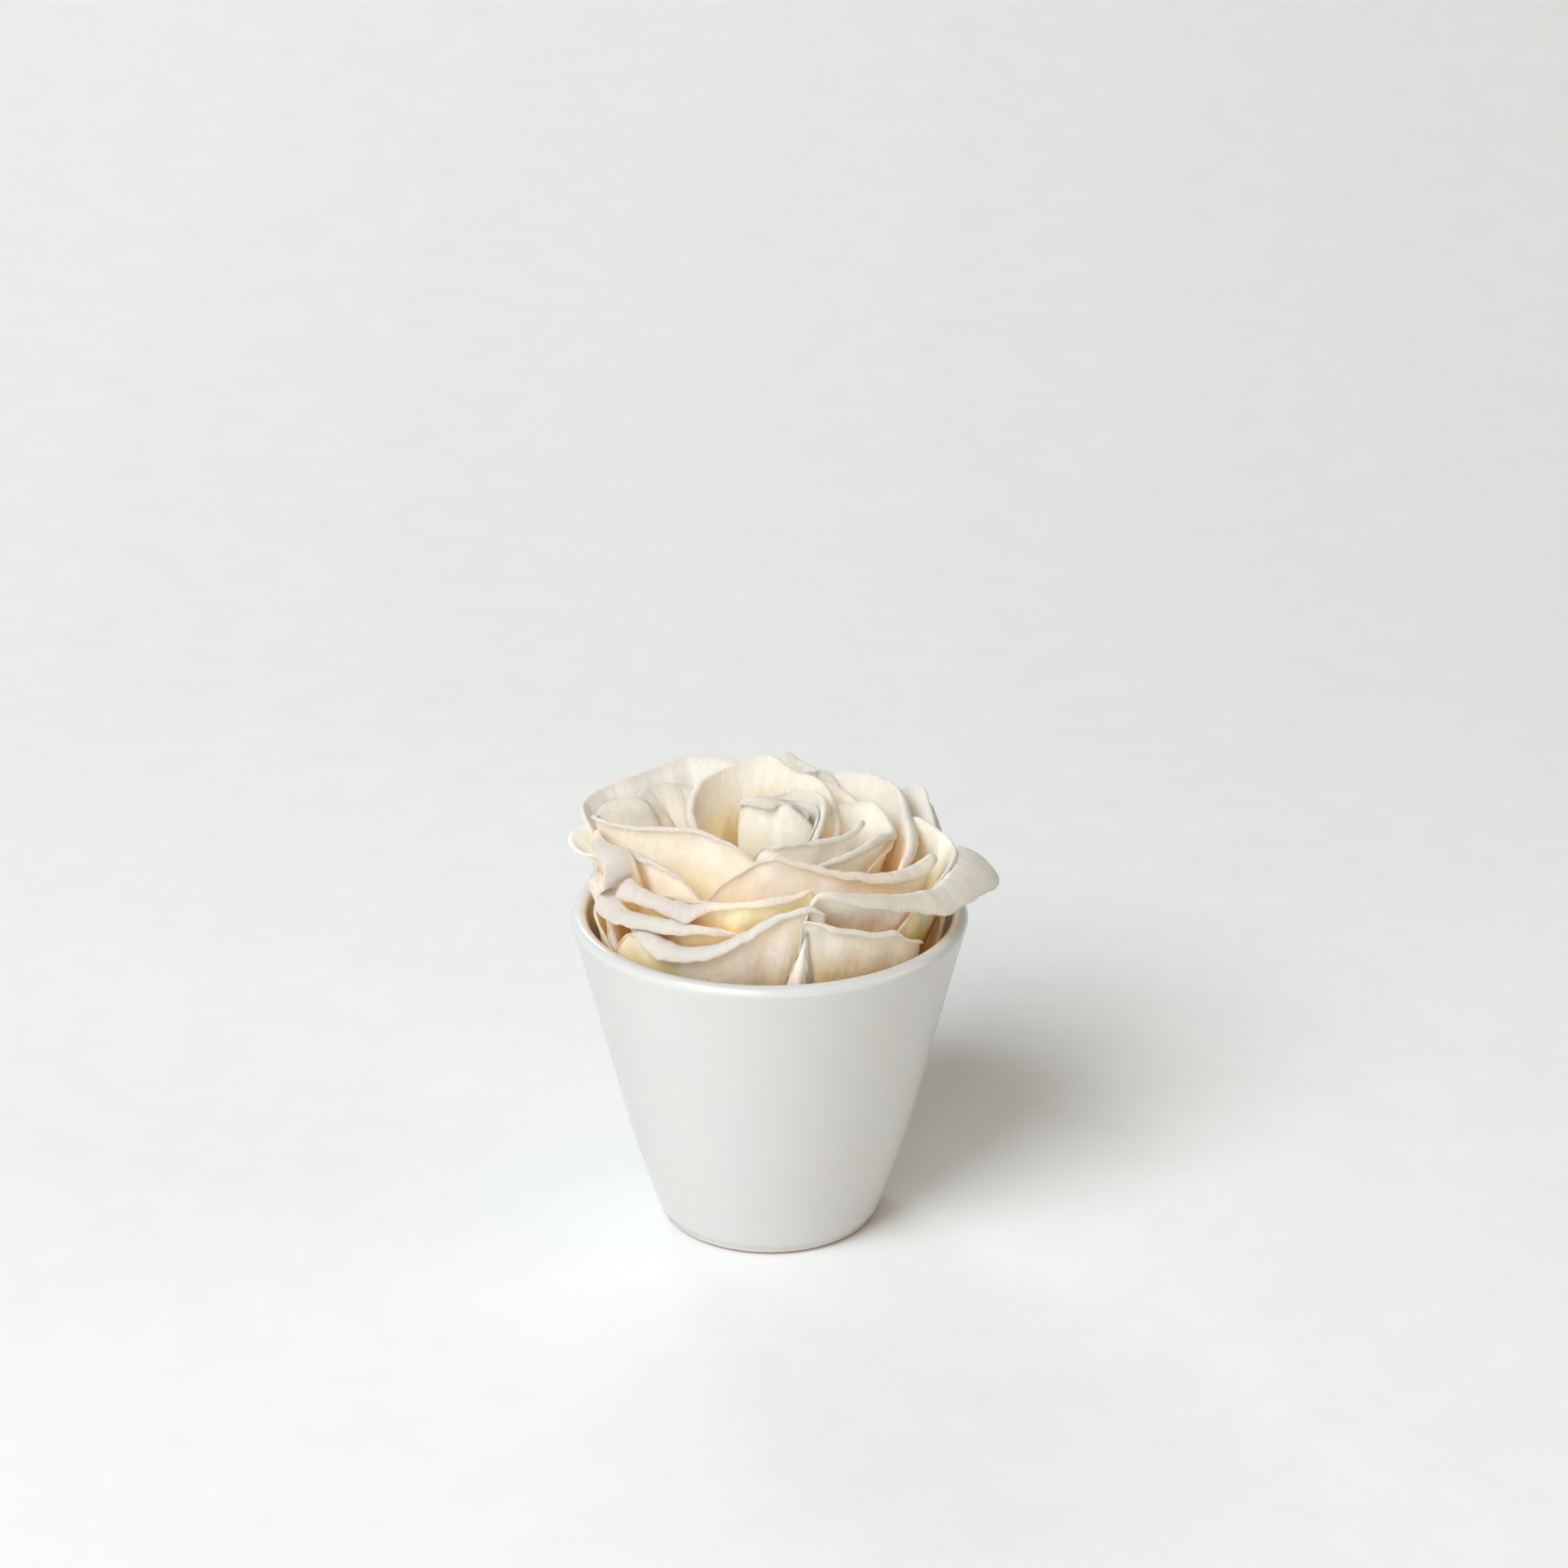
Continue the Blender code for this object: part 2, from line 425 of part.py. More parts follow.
def keep_largest_shell(body):
    """Fills sealed hollows and drops loose scraps, which are shells of their own in the mesh."""
    mesh = bmesh.new()
    mesh.from_mesh(body.data)
    bmesh.ops.triangulate(mesh, faces=mesh.faces[:])
    shells = []
    seen = set()
    for start in mesh.faces:
        if start in seen:
            continue
        seen.add(start)
        shell = [start]
        for face in shell:
            for edge in face.edges:
                for other in edge.link_faces:
                    if other not in seen:
                        seen.add(other)
                        shell.append(other)
        shells.append(shell)
    largest = max(shells, key=len)
    loose = [face for shell in shells if shell is not largest for face in shell]
    bmesh.ops.delete(mesh, geom=loose, context="FACES")
    mesh.to_mesh(body.data)
    mesh.free()


def sepal_rows(turn):
    """A pointed sepal that springs from the calyx at an angle, arches out and hangs."""
    rows = []
    for step in range(SEPAL_STEPS + 1):
        along = step / SEPAL_STEPS
        reach = SEPAL_START + SEPAL_LENGTH * along
        height = SEPAL_RISE + SEPAL_ARCH * math.sin(math.pi * along) - SEPAL_DROP * along ** 2
        half = SEPAL_WIDTH / 2 * math.sqrt(1.0 - SEPAL_TAPER * along)
        row = []
        for across in (-1.0, -0.5, 0.0, 0.5, 1.0):
            side = half * across
            row.append((reach * math.cos(turn) - side * math.sin(turn),
                        reach * math.sin(turn) + side * math.cos(turn),
                        height - SEPAL_SAG * across ** 2))
        rows.append(row)
    return rows


def make_stem(collection):
    foot = HOLE_BOTTOM + HOLE_CLEARANCE
    profile = [(0.0, CALYX_PROFILE[0][1])] + CALYX_PROFILE + [(STEM_RADIUS, foot), (0.0, foot)]
    stem = turned("stem", profile, STEM_STEPS, collection)
    apply_modifiers(stem)
    sepals = make_collection("sepals")
    for number in range(SEPAL_COUNT):
        rows = sepal_rows(2.0 * math.pi * (number + SEPAL_TURN) / SEPAL_COUNT)
        thicken(triangle_sheet("sepal", rows, sepals), SEPAL_THICKNESS)
    join_collection(stem, sepals)
    shade(stem)
    give_material(stem, "stem")


def smooth_rim(stations):
    """Many points of a Catmull-Rom curve through the stations of a rim."""
    stations = np.array(stations, float)
    first = 2 * stations[0] - stations[1]
    last = 2 * stations[-1] - stations[-2]
    control = np.vstack([first, stations, last])
    place = np.linspace(0.0, len(stations) - 1, RIM_SAMPLES * len(stations))
    index = np.minimum(place.astype(int), len(stations) - 2)
    t = (place - index)[:, None]
    a, b, c, d = (control[index + k] for k in range(4))
    return 0.5 * (2 * b + (c - a) * t + (2 * a - 5 * b + 4 * c - d) * t ** 2
                  + (3 * b - a - 3 * c + d) * t ** 3)


def around(azimuth, radius, height):
    """Points from cylindrical measures, with azimuth 0 towards -Y and 90 degrees towards +X."""
    height = height + 0.0 * azimuth
    return np.stack([radius * np.sin(azimuth), -radius * np.cos(azimuth), height], -1)


def unit(vectors):
    return vectors / np.linalg.norm(vectors, axis=-1, keepdims=True)


def petal_rows(shape):
    """Rows of points from a petal's root up to its rim and over its rolled lip."""
    rim = smooth_rim(shape["rim"])
    centre = np.array([*shape["centre"], 0.0])
    curve = centre + around(np.radians(rim[:, 0]), rim[:, 1], rim[:, 2])
    length = np.r_[0.0, np.cumsum(np.linalg.norm(np.diff(curve, axis=0), axis=1))]
    columns = max(4, round(length[-1] / PETAL_COLUMN_WIDTH))
    even = np.linspace(0.0, length[-1], columns + 1)
    azimuth, radius, height, lip = (np.interp(even, length, rim[:, k]) for k in range(4))
    azimuth = np.radians(azimuth)
    lip = np.maximum(lip, LIP_LEAST)
    crest = centre + around(azimuth, radius, height)

    # Outwards is across the rim where the rim runs level, and away from the axis where it climbs
    run = unit(np.gradient(crest, axis=0))
    level = np.linalg.norm(run[:, :2], axis=1)[:, None]
    across = unit(np.stack([run[:, 1], -run[:, 0], 0.0 * level[:, 0]], -1))
    outward = unit(level ** 2 * across + (AWAY_SHARE - level ** 2) * around(azimuth, 1.0, 0.0))
    upward = np.array([0.0, 0.0, 1.0])

    lean = math.radians(shape["lean"])
    flare = math.radians(shape["flare"])
    roll = np.clip(ROLL_SHARE * lip, *ROLL_RADIUS)[:, None]
    shoulder = crest - roll * (math.cos(lean) * outward + (1.0 - math.sin(lean)) * upward)
    middle = (azimuth.min() + azimuth.max()) / 2
    root_azimuth = middle + shape["spread"] * (azimuth - middle)
    root = around(root_azimuth, *shape["root"])
    reach = np.linalg.norm(shoulder - root, axis=1)[:, None]
    springs = math.sin(flare) * around(root_azimuth, 1.0, 0.0) + math.cos(flare) * upward
    arrives = math.sin(lean) * outward + math.cos(lean) * upward
    low = root + shape["belly"] * reach * springs
    high = shoulder - shape["top"] * reach * arrives
    rows = []
    for t in PETAL_BODY_ROWS:
        rows.append((1 - t) ** 3 * root + 3 * (1 - t) ** 2 * t * low
                    + 3 * (1 - t) * t ** 2 * high + t ** 3 * shoulder)
    rows.append(crest)

    # The lip turns most of its way just over the rim, and hangs almost straight from there
    droop = np.atleast_1d(np.radians(shape["droop"]))
    droop = np.interp(np.linspace(0.0, 1.0, columns + 1), np.linspace(0.0, 1.0, len(droop)), droop)
    end = crest.copy()
    for step in range(LIP_STEPS):
        turned_by = (droop - math.pi / 2) * ((step + 0.5) / LIP_STEPS) ** LIP_TURN_EARLY
        tilt = (math.pi / 2 + turned_by)[:, None]
        end = end + lip[:, None] / LIP_STEPS * (np.sin(tilt) * outward + np.cos(tilt) * upward)
    rows.append(end)
    return rows


def make_bloom(collection):
    profile = [(0.0, CORE_PROFILE[-1][1])] + CORE_PROFILE[::-1] + [(0.0, CORE_PROFILE[0][1])]
    bloom = turned("bloom", profile, CORE_STEPS, collection)
    apply_modifiers(bloom)
    petals = make_collection("petals")
    for name, shape in PETALS.items():
        rows = petal_rows({**PETAL_SHAPE, **shape})
        thicken(triangle_sheet(name, rows, petals), PETAL_THICKNESS)
    join_collection(bloom, petals)
    shade(bloom, 50.0)
    give_material(bloom, "bloom")


def main():
    clear_scene()
    collection = make_collection("preserved rose in vase")
    make_vase(collection)
    make_foam(collection)
    make_stem(collection)
    make_bloom(collection)


main()
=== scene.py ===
import math

import bpy
import numpy as np
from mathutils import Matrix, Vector


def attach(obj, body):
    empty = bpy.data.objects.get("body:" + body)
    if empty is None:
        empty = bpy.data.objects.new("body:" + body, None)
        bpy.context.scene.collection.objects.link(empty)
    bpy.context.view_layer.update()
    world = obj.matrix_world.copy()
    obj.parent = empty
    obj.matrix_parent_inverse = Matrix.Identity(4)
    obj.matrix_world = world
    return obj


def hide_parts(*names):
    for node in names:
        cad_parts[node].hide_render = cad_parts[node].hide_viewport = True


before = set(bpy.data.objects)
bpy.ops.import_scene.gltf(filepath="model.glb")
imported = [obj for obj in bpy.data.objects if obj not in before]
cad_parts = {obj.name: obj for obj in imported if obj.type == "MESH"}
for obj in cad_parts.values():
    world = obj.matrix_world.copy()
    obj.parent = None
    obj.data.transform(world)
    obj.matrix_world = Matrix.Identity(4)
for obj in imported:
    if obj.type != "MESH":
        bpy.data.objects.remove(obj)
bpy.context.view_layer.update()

mm = 0.001
up = np.array([0.0, 0.0, 1.0])


class Wire:
    # an output socket: an expression on wires and numbers adds the Math nodes
    def __init__(self, finish, socket):
        self.finish = finish
        self.socket = socket

    def maths(self, operation, first, second):
        return self.finish.node("ShaderNodeMath", {"operation": operation}, {0: first, 1: second})

    def __add__(self, other):
        return self.maths("ADD", self, other)

    def __radd__(self, other):
        return self.maths("ADD", other, self)

    def __sub__(self, other):
        return self.maths("SUBTRACT", self, other)

    def __rsub__(self, other):
        return self.maths("SUBTRACT", other, self)

    def __mul__(self, other):
        return self.maths("MULTIPLY", self, other)

    def __rmul__(self, other):
        return self.maths("MULTIPLY", other, self)


class Finish:
    # a procedural material: constants sit on the shader's own sockets, wires carry what varies
    def __init__(self, name, constants):
        self.material = bpy.data.materials.new(name)
        self.material.use_nodes = True
        self.tree = self.material.node_tree
        self.shader = self.tree.nodes["Principled BSDF"]
        for socket, value in constants.items():
            self.shader.inputs[socket].default_value = value

    def node(self, kind, settings, sockets, output=0):
        made = self.tree.nodes.new(kind)
        for name, value in settings.items():
            if name == "stops":
                self.setStops(made.color_ramp, value)
            else:
                setattr(made, name, value)
        for name, value in sockets.items():
            self.feed(made.inputs[name], value)
        return Wire(self, made.outputs[output])

    def feed(self, socket, value):
        if isinstance(value, Wire):
            self.tree.links.new(value.socket, socket)
        else:
            socket.default_value = value

    def setStops(self, ramp, stops):
        while len(ramp.elements) < len(stops):
            ramp.elements.new(1.0)
        for element, (position, colour) in zip(ramp.elements, stops):
            element.position = position
            element.color = (*colour, 1.0)

    def attribute(self, name, output):
        return self.node("ShaderNodeAttribute", {"attribute_name": name}, {}, output)

    def place(self):  # the object's own coordinates, in metres
        return self.node("ShaderNodeTexCoord", {}, {}, "Object")

    def stretched(self, place, x, y, z):  # a place on the surface, scaled along each axis
        sockets = {0: place, 1: (x, y, z)}
        return self.node("ShaderNodeVectorMath", {"operation": "MULTIPLY"}, sockets)

    def noise(self, place, scale, detail=2.0, roughness=0.5, distortion=0.0):
        sockets = {"Vector": place, "Scale": scale, "Detail": detail, "Roughness": roughness,
                   "Distortion": distortion}
        return self.node("ShaderNodeTexNoise", {}, sockets)

    def ramp(self, factor, stops):
        return self.node("ShaderNodeValToRGB", {"stops": stops}, {0: factor})

    def between(self, factor, low, high):  # 0 below low, 1 above high, smooth in the middle
        return self.node("ShaderNodeMapRange", {"interpolation_type": "SMOOTHSTEP"},
                         {0: factor, 1: low, 2: high})

    def mix(self, factor, first, second):  # colours go through the RGBA sockets, 6 and 7
        sockets = {0: factor, 6: first, 7: second}
        return self.node("ShaderNodeMix", {"data_type": "RGBA"}, sockets, 2)

    def bump(self, height, distance, strength=1.0):
        sockets = {"Height": height, "Distance": distance, "Strength": strength}
        self.shows("Normal", self.node("ShaderNodeBump", {}, sockets))

    def shows(self, socket, wire):
        self.feed(self.shader.inputs[socket], wire)


def makePiece(name, vertices, faces, finish):
    mesh = bpy.data.meshes.new(name)
    mesh.from_pydata((np.asarray(vertices) * mm).tolist(), [], faces)
    mesh.shade_smooth()
    piece = bpy.data.objects.new(name, mesh)
    bpy.context.scene.collection.objects.link(piece)
    mesh.materials.append(finish.material)
    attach(piece, "root")
    return piece


def turnedPiece(name, profile, steps, finish, wobble=None):
    # profile runs from the axis, over the outside, back to the axis, as (radius, height)
    profile = np.array(profile, float)
    turn = np.linspace(0.0, 2.0 * math.pi, steps, endpoint=False)
    radius = profile[1:-1, :1] + 0.0 * turn
    height = profile[1:-1, 1:] + 0.0 * turn
    if wobble:
        radius = radius + wobble(turn, height)
    rings = np.stack([radius * np.cos(turn), radius * np.sin(turn), height], -1)
    start = [[0.0, 0.0, profile[0, 1]]]
    end = [[0.0, 0.0, profile[-1, 1]]]
    vertices = np.vstack([start, rings.reshape(-1, 3), end])
    faces = []
    count = len(rings)
    last = len(vertices) - 1
    for j in range(steps):
        k = (j + 1) % steps
        faces.append((0, 1 + k, 1 + j))
        faces.append((last, 1 + (count - 1) * steps + j, 1 + (count - 1) * steps + k))
        for i in range(count - 1):
            low = 1 + i * steps
            faces.append((low + j, low + k, low + steps + k, low + steps + j))
    return makePiece(name, vertices, faces, finish)


def arc(centre, radius, start, end, count):
    angles = np.radians(np.linspace(start, end, count + 1))
    return [(centre[0] + radius * math.cos(a), centre[1] + radius * math.sin(a)) for a in angles]


# where the photograph was taken from; height is the camera's angle above the pot, pitch its tilt
cameraSet = {  # lens and sensor in millimetres, distance in metres, height and pitch in degrees
    "lens": 95.0, "sensor": 36.0, "distance": 0.8617, "height": 27.57, "pitch": 21.751,
    "shift": 0.00916,
}


def placeCamera():
    data = bpy.data.cameras.new("camera")
    data.lens = cameraSet["lens"]
    data.sensor_width = cameraSet["sensor"]
    data.shift_x = cameraSet["shift"]
    data.clip_start = 0.01
    camera = bpy.data.objects.new("camera", data)
    bpy.context.scene.collection.objects.link(camera)
    height = math.radians(cameraSet["height"])
    distance = cameraSet["distance"]
    camera.location = (0.0, -distance * math.cos(height), distance * math.sin(height))
    camera.rotation_euler = (math.pi / 2 - math.radians(cameraSet["pitch"]), 0.0, 0.0)
    bpy.context.scene.camera = camera


# a pale table that sweeps up behind, and soft daylight from the left; lengths in metres
studio = {
    "floorColour": (0.80, 0.80, 0.80), "floorShade": 0.97, "floorReach": 3.0,
    "sweepStart": 0.3, "sweepHeight": 1.5, "sweepEnd": 80.0, "sweepSteps": 16,
    "worldColour": (1.0, 0.80, 0.60), "worldStrength": 0.19,
    "bounces": 24,  # light passes through many petals
}
lights = {  # place and aim in metres, size in metres, power in watts, colour
    "keyLight": ((-0.99, -1.27, 1.68), (0.0, 0.0, 0.05), 1.3, 50.5, (0.86, 0.94, 1.0)),
    "frontLight": ((-0.7, -1.5, 0.75), (0.0, 0.0, 0.05), 1.4, 17.2, (1.0, 0.94, 0.88)),
    "backLight": ((-0.5, 1.9, 1.0), (-0.1, 1.0, 0.0), 1.0, 27.8, (0.84, 0.96, 1.0)),
    "sideLight": ((1.4, -0.2, 0.5), (0.0, 0.0, 0.05), 0.8, 4.2, (1.0, 0.94, 0.74)),
}


def addLight(name, place, aim, size, power, colour):
    data = bpy.data.lights.new(name, "AREA")
    data.shape = "SQUARE"
    data.size = size
    data.energy = power
    data.color = colour
    light = bpy.data.objects.new(name, data)
    bpy.context.scene.collection.objects.link(light)
    light.location = place
    light.rotation_euler = (Vector(aim) - light.location).to_track_quat("-Z", "Y").to_euler()


def floorFinish():
    finish = Finish("paleFloor", {"Roughness": 0.75, "Specular IOR Level": 0.2})
    place = finish.place()
    speck = finish.noise(place, 60.0, 5.0, 0.6)
    colour = studio["floorColour"]
    darker = tuple(studio["floorShade"] * c for c in colour)
    finish.shows("Base Color", finish.ramp(speck, [(0.3, darker), (0.7, colour)]))
    return finish


def setStudio():
    reach = studio["floorReach"]
    start = studio["sweepStart"]
    rise = studio["sweepHeight"]
    line = [(-reach, 0.0), (start, 0.0)]
    for a in np.radians(np.linspace(5, studio["sweepEnd"], studio["sweepSteps"])):
        line.append((start + rise * math.sin(a), rise * (1.0 - math.cos(a))))
    vertices = [(x, y, z) for y, z in line for x in (-reach, reach)]
    faces = [(2 * i, 2 * i + 1, 2 * i + 3, 2 * i + 2) for i in range(len(line) - 1)]
    mesh = bpy.data.meshes.new("floor")
    mesh.from_pydata(vertices, [], faces)
    mesh.shade_smooth()
    floor = bpy.data.objects.new("floor", mesh)
    bpy.context.scene.collection.objects.link(floor)
    mesh.materials.append(floorFinish().material)
    world = bpy.data.worlds.new("daylight")
    world.use_nodes = True
    backdrop = world.node_tree.nodes["Background"]
    backdrop.inputs["Color"].default_value = (*studio["worldColour"], 1.0)
    backdrop.inputs["Strength"].default_value = studio["worldStrength"]
    bpy.context.scene.world = world
    for name, values in lights.items():
        addLight(name, *values)
    bpy.context.scene.view_settings.view_transform = "Standard"
    bpy.context.scene.cycles.max_bounces = studio["bounces"]
    bpy.context.scene.cycles.diffuse_bounces = studio["bounces"]


placeCamera()
setStudio()
print("camera, floor and light are set")


# a thrown white pot with a soft lip, glazed down to its foot
vase = {  # lengths in millimetres
    "height": 67.5, "radius": 40.0, "wall": 3.3, "taper": 0.2525, "taperTop": 65.0,
    "bellyTop": 27.0, "bellyCurve": 0.0021, "floor": 4.5, "insideTop": 62.0,
    "lipProud": 0.25, "lipEnd": -14.0, "lipFade": (65.4, 59.5),
    "footRound": 1.6, "innerRound": 7.0, "steps": 224, "wobble": 0.06,
    "glaze": (0.57, 0.575, 0.57), "warmGlaze": (0.58, 0.57, 0.55), "speck": (0.55, 0.53, 0.50),
    # painted light: the inside wall is painted lighter and warmer than the glaze, standing in for
    # the warm light the petals send down into the pot
    "insidePaintedLight": (0.80, 0.71, 0.57), "insideEdge": (20.5, 21.5),
    "bareClay": (0.42, 0.30, 0.24), "glazeEdge": 0.7, "rough": 0.24,
}


def vaseOutside(height):
    radius = vase["radius"] - vase["lipProud"] - vase["taper"] * (vase["taperTop"] - height)
    return radius - vase["bellyCurve"] * max(0.0, vase["bellyTop"] - height) ** 2


def vaseInside(height):
    return vaseOutside(height) + vase["lipProud"] - vase["wall"]


def vaseProfile():
    lip = vase["wall"] / 2
    corner = vase["floor"] + vase["innerRound"]
    floorEdge = vaseInside(corner) - vase["innerRound"]
    foot = vaseOutside(0.0) - vase["footRound"]
    fadeTop, fadeBottom = vase["lipFade"]
    line = [(0.0, vase["floor"])]
    line += [(r, vase["floor"]) for r in np.linspace(4.0, floorEdge - 2.0, 6)]
    line += arc((floorEdge, corner), vase["innerRound"], -90.0, 0.0, 10)
    line += [(vaseInside(z), z) for z in np.linspace(corner + 2.0, vase["insideTop"], 26)]
    line += arc((vase["radius"] - lip, vase["height"] - lip), lip, 180.0, vase["lipEnd"], 24)
    proud = line[-1][0] - vaseOutside(line[-1][1])
    for z in np.linspace(fadeTop, vase["footRound"] + 0.6, 52)[1:]:
        left = max(0.0, (z - fadeBottom) / (fadeTop - fadeBottom))  # the lip's swell dies out
        line.append((vaseOutside(z) + proud * left ** 1.5, z))
    line += arc((foot, vase["footRound"]), vase["footRound"], 0.0, -90.0, 8)
    line += [(r, 0.0) for r in np.linspace(foot - 1.5, 3.0, 8)]
    return (line + [(0.0, 0.0)])[::-1]


def throwingWobble(turn, height):
    # a hand-thrown pot is never quite round
    size = vase["wobble"] * np.clip(height / 20.0, 0.0, 1.0)
    oval = np.sin(2 * turn + 0.06 * height + 0.7)
    threeSided = 0.6 * np.sin(3 * turn - 0.04 * height + 2.1)
    return size * (oval + threeSided + 0.35 * np.sin(7 * turn + 0.11 * height))


def glazeFinish():
    finish = Finish("whiteGlaze", {"Roughness": vase["rough"], "Specular IOR Level": 0.5,
                                   "Coat Weight": 0.25, "Coat Roughness": 0.12})
    place = finish.place()
    height = finish.node("ShaderNodeSeparateXYZ", {}, {0: place}, 2)
    cloud = finish.noise(place, 90.0, 3.0, 0.55)
    speck = finish.between(finish.noise(place, 1500.0, 2.0, 0.6), 0.70, 0.80)
    spots = finish.between(finish.noise(place, 420.0, 1.0, 0.5), 0.745, 0.79)
    warm = finish.between(cloud, 0.35, 0.75)
    colour = finish.mix(warm, (*vase["glaze"], 1.0), (*vase["warmGlaze"], 1.0))
    colour = finish.mix(0.35 * speck + 0.3 * spots, colour, (*vase["speck"], 1.0))
    level = finish.stretched(place, 1.0, 1.0, 0.0)
    radius = finish.node("ShaderNodeVectorMath", {"operation": "LENGTH"}, {0: level}, 1)
    # painted light: the inside wall takes its lighter, warmer colour here
    insidePaintedLight = 1.0 - finish.between(1000.0 * (radius - vase["taper"] * height), *vase["insideEdge"])
    colour = finish.mix(insidePaintedLight, colour, (*vase["insidePaintedLight"], 1.0))
    edge = height * 1000.0 + 0.5 * (finish.noise(place, 260.0) - 0.5)
    bare = 1.0 - finish.between(edge, vase["glazeEdge"] - 0.15, vase["glazeEdge"] + 0.15)
    finish.shows("Base Color", finish.mix(bare, colour, (*vase["bareClay"], 1.0)))
    smear = finish.noise(place, 300.0, 3.0)
    finish.shows("Roughness", vase["rough"] + 0.5 * bare + 0.08 * (smear - 0.5))
    waver = finish.noise(place, 160.0, 3.0, 0.5)
    finish.bump(waver + 0.25 * finish.noise(place, 1400.0, 2.0), 0.00012, 0.6)
    return finish


pot = turnedPiece("glazedVase", vaseProfile(), vase["steps"], glazeFinish(), throwingWobble)
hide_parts("vase")
print("vase is thrown and glazed")


# foam and stem are hidden below the petals; the frame's own meshes get new finishes
foam = {"dry": (0.16, 0.24, 0.10), "dust": (0.27, 0.36, 0.17), "pore": 900.0}
stem = {"green": (0.13, 0.21, 0.06), "dry": (0.30, 0.27, 0.13), "streak": 700.0}


def foamFinish():
    finish = Finish("dryFoam", {"Roughness": 0.95, "Specular IOR Level": 0.1})
    place = finish.place()
    pores = finish.noise(place, foam["pore"], 3.0, 0.6)
    finish.shows("Base Color", finish.ramp(pores, [(0.35, foam["dry"]), (0.7, foam["dust"])]))
    finish.bump(pores, 0.0004)
    return finish


def stemFinish():
    finish = Finish("driedStem", {"Roughness": 0.7, "Specular IOR Level": 0.25})
    place = finish.place()
    streaks = finish.noise(finish.stretched(place, 1.0, 1.0, 0.15), stem["streak"], 3.0, 0.6)
    finish.shows("Base Color", finish.ramp(streaks, [(0.35, stem["green"]), (0.75, stem["dry"])]))
    finish.bump(streaks, 0.0003)
    return finish


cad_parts["foam"].material_slots[0].material = foamFinish().material
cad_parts["stem"].material_slots[0].material = stemFinish().material
print("foam and stem have their finishes")


# the rose: 39 petals round a heart, thin, waved, rolled back at the rim and golden at the root
bloom = {  # lengths in millimetres; the lengths of ripples are the shortest and the longest
    "rimPoints": 480, "rimSmooth": 4, "columnWidth": 0.62, "leastColumns": 24,
    "bodyRows": 38, "rollRows": 4, "lipRows": 10, "lipSteps": 6,
    "rollShare": 0.45, "rollLeast": 0.05, "rollMost": 1.0, "thinLip": 0.15,
    "thickness": 0.34, "edge": 0.14, "seed": 7,
    "wave": 0.34, "waveLength": (7.0, 26.0),
    "crinkle": 0.055, "crinkleLength": (1.9, 5.0), "crossLength": (2.6, 8.0),
    "rimWave": 0.12, "rimWaveLength": (3.0, 12.0), "lipWave": 0.06, "lipWaveLength": (2.5, 12.0),
    # lip, rim, middle, deep and root are the petal's colours from the rolled lip down to the root;
    # white is the colour of the painted light below some rims, and shade the colour that the veins
    # and the painted shade in the folds darken towards
    "lip": (0.55, 0.53, 0.50), "rim": (0.665, 0.635, 0.575), "middle": (1.0, 0.925, 0.75),
    "deep": (1.0, 0.79, 0.44), "root": (1.0, 0.66, 0.20), "white": (0.975, 0.985, 0.90),
    "shade": (1.0, 0.84, 0.55), "goldReach": 32.0, "mottle": 5.0, "nextGrain": 40.0,
}
petalPatterns = {  # stretch along the petal, then scale, detail, roughness and distortion
    "veins": (0.07, 2.8, 2.0, 0.6, 0.25), "creases": (0.22, 0.55, 3.0, 0.55, 0.3),
    "velvet": (1.0, 4.5, 1.0, 0.5, 0.0), "mottle": (0.45, 0.22, 3.0, 0.6, 0.0),
    "folds": (0.5, 1.5, 2.0, 0.55, 1.4),
}
petalGoldAndPaintedGlow = {  # how far some petals are ahead in the change from cream to gold, in millimetres: partly the petals' own colour, partly painted light, the golden glow of light through the petals in gaps and hollows
    "hood": 3, "backRight": 2, "right6": 8, "rightIn": 14, "front1": -3, "front2": 2, "front4": 1,
    "front6": 14, "front7": 10, "front9": -1, "front10": 3, "front11": 12, "facet": -4,
    "left1": 14, "leftTip": 6, "leftLow": 6, "leftMid": -2, "gapLeft": 14,
    "mid1": 8, "mid2": 12, "mid4": 14, "mid5": 14, "mid6": 14,
}
petalPaintedLight = {  # painted light: how much some petals are painted paler, with less gold, just below the rim, where light falls full on their faces or into their hollows
    "hood": 0.2, "front1": 0.85, "front2": 0.7, "front3": 0.5, "front5": 0.75, "front7": 0.7,
    "facet": 1.0, "backLeft": 0.4,
}
heart = [(0.0, 41.3), (7.4, 41.3), (11.0, 43.0), (13.0, 46.5), (12.0, 51.0), (7.5, 56.0),
         (5.0, 64.0), (3.6, 78.0), (0.0, 78.4)]  # radius and height

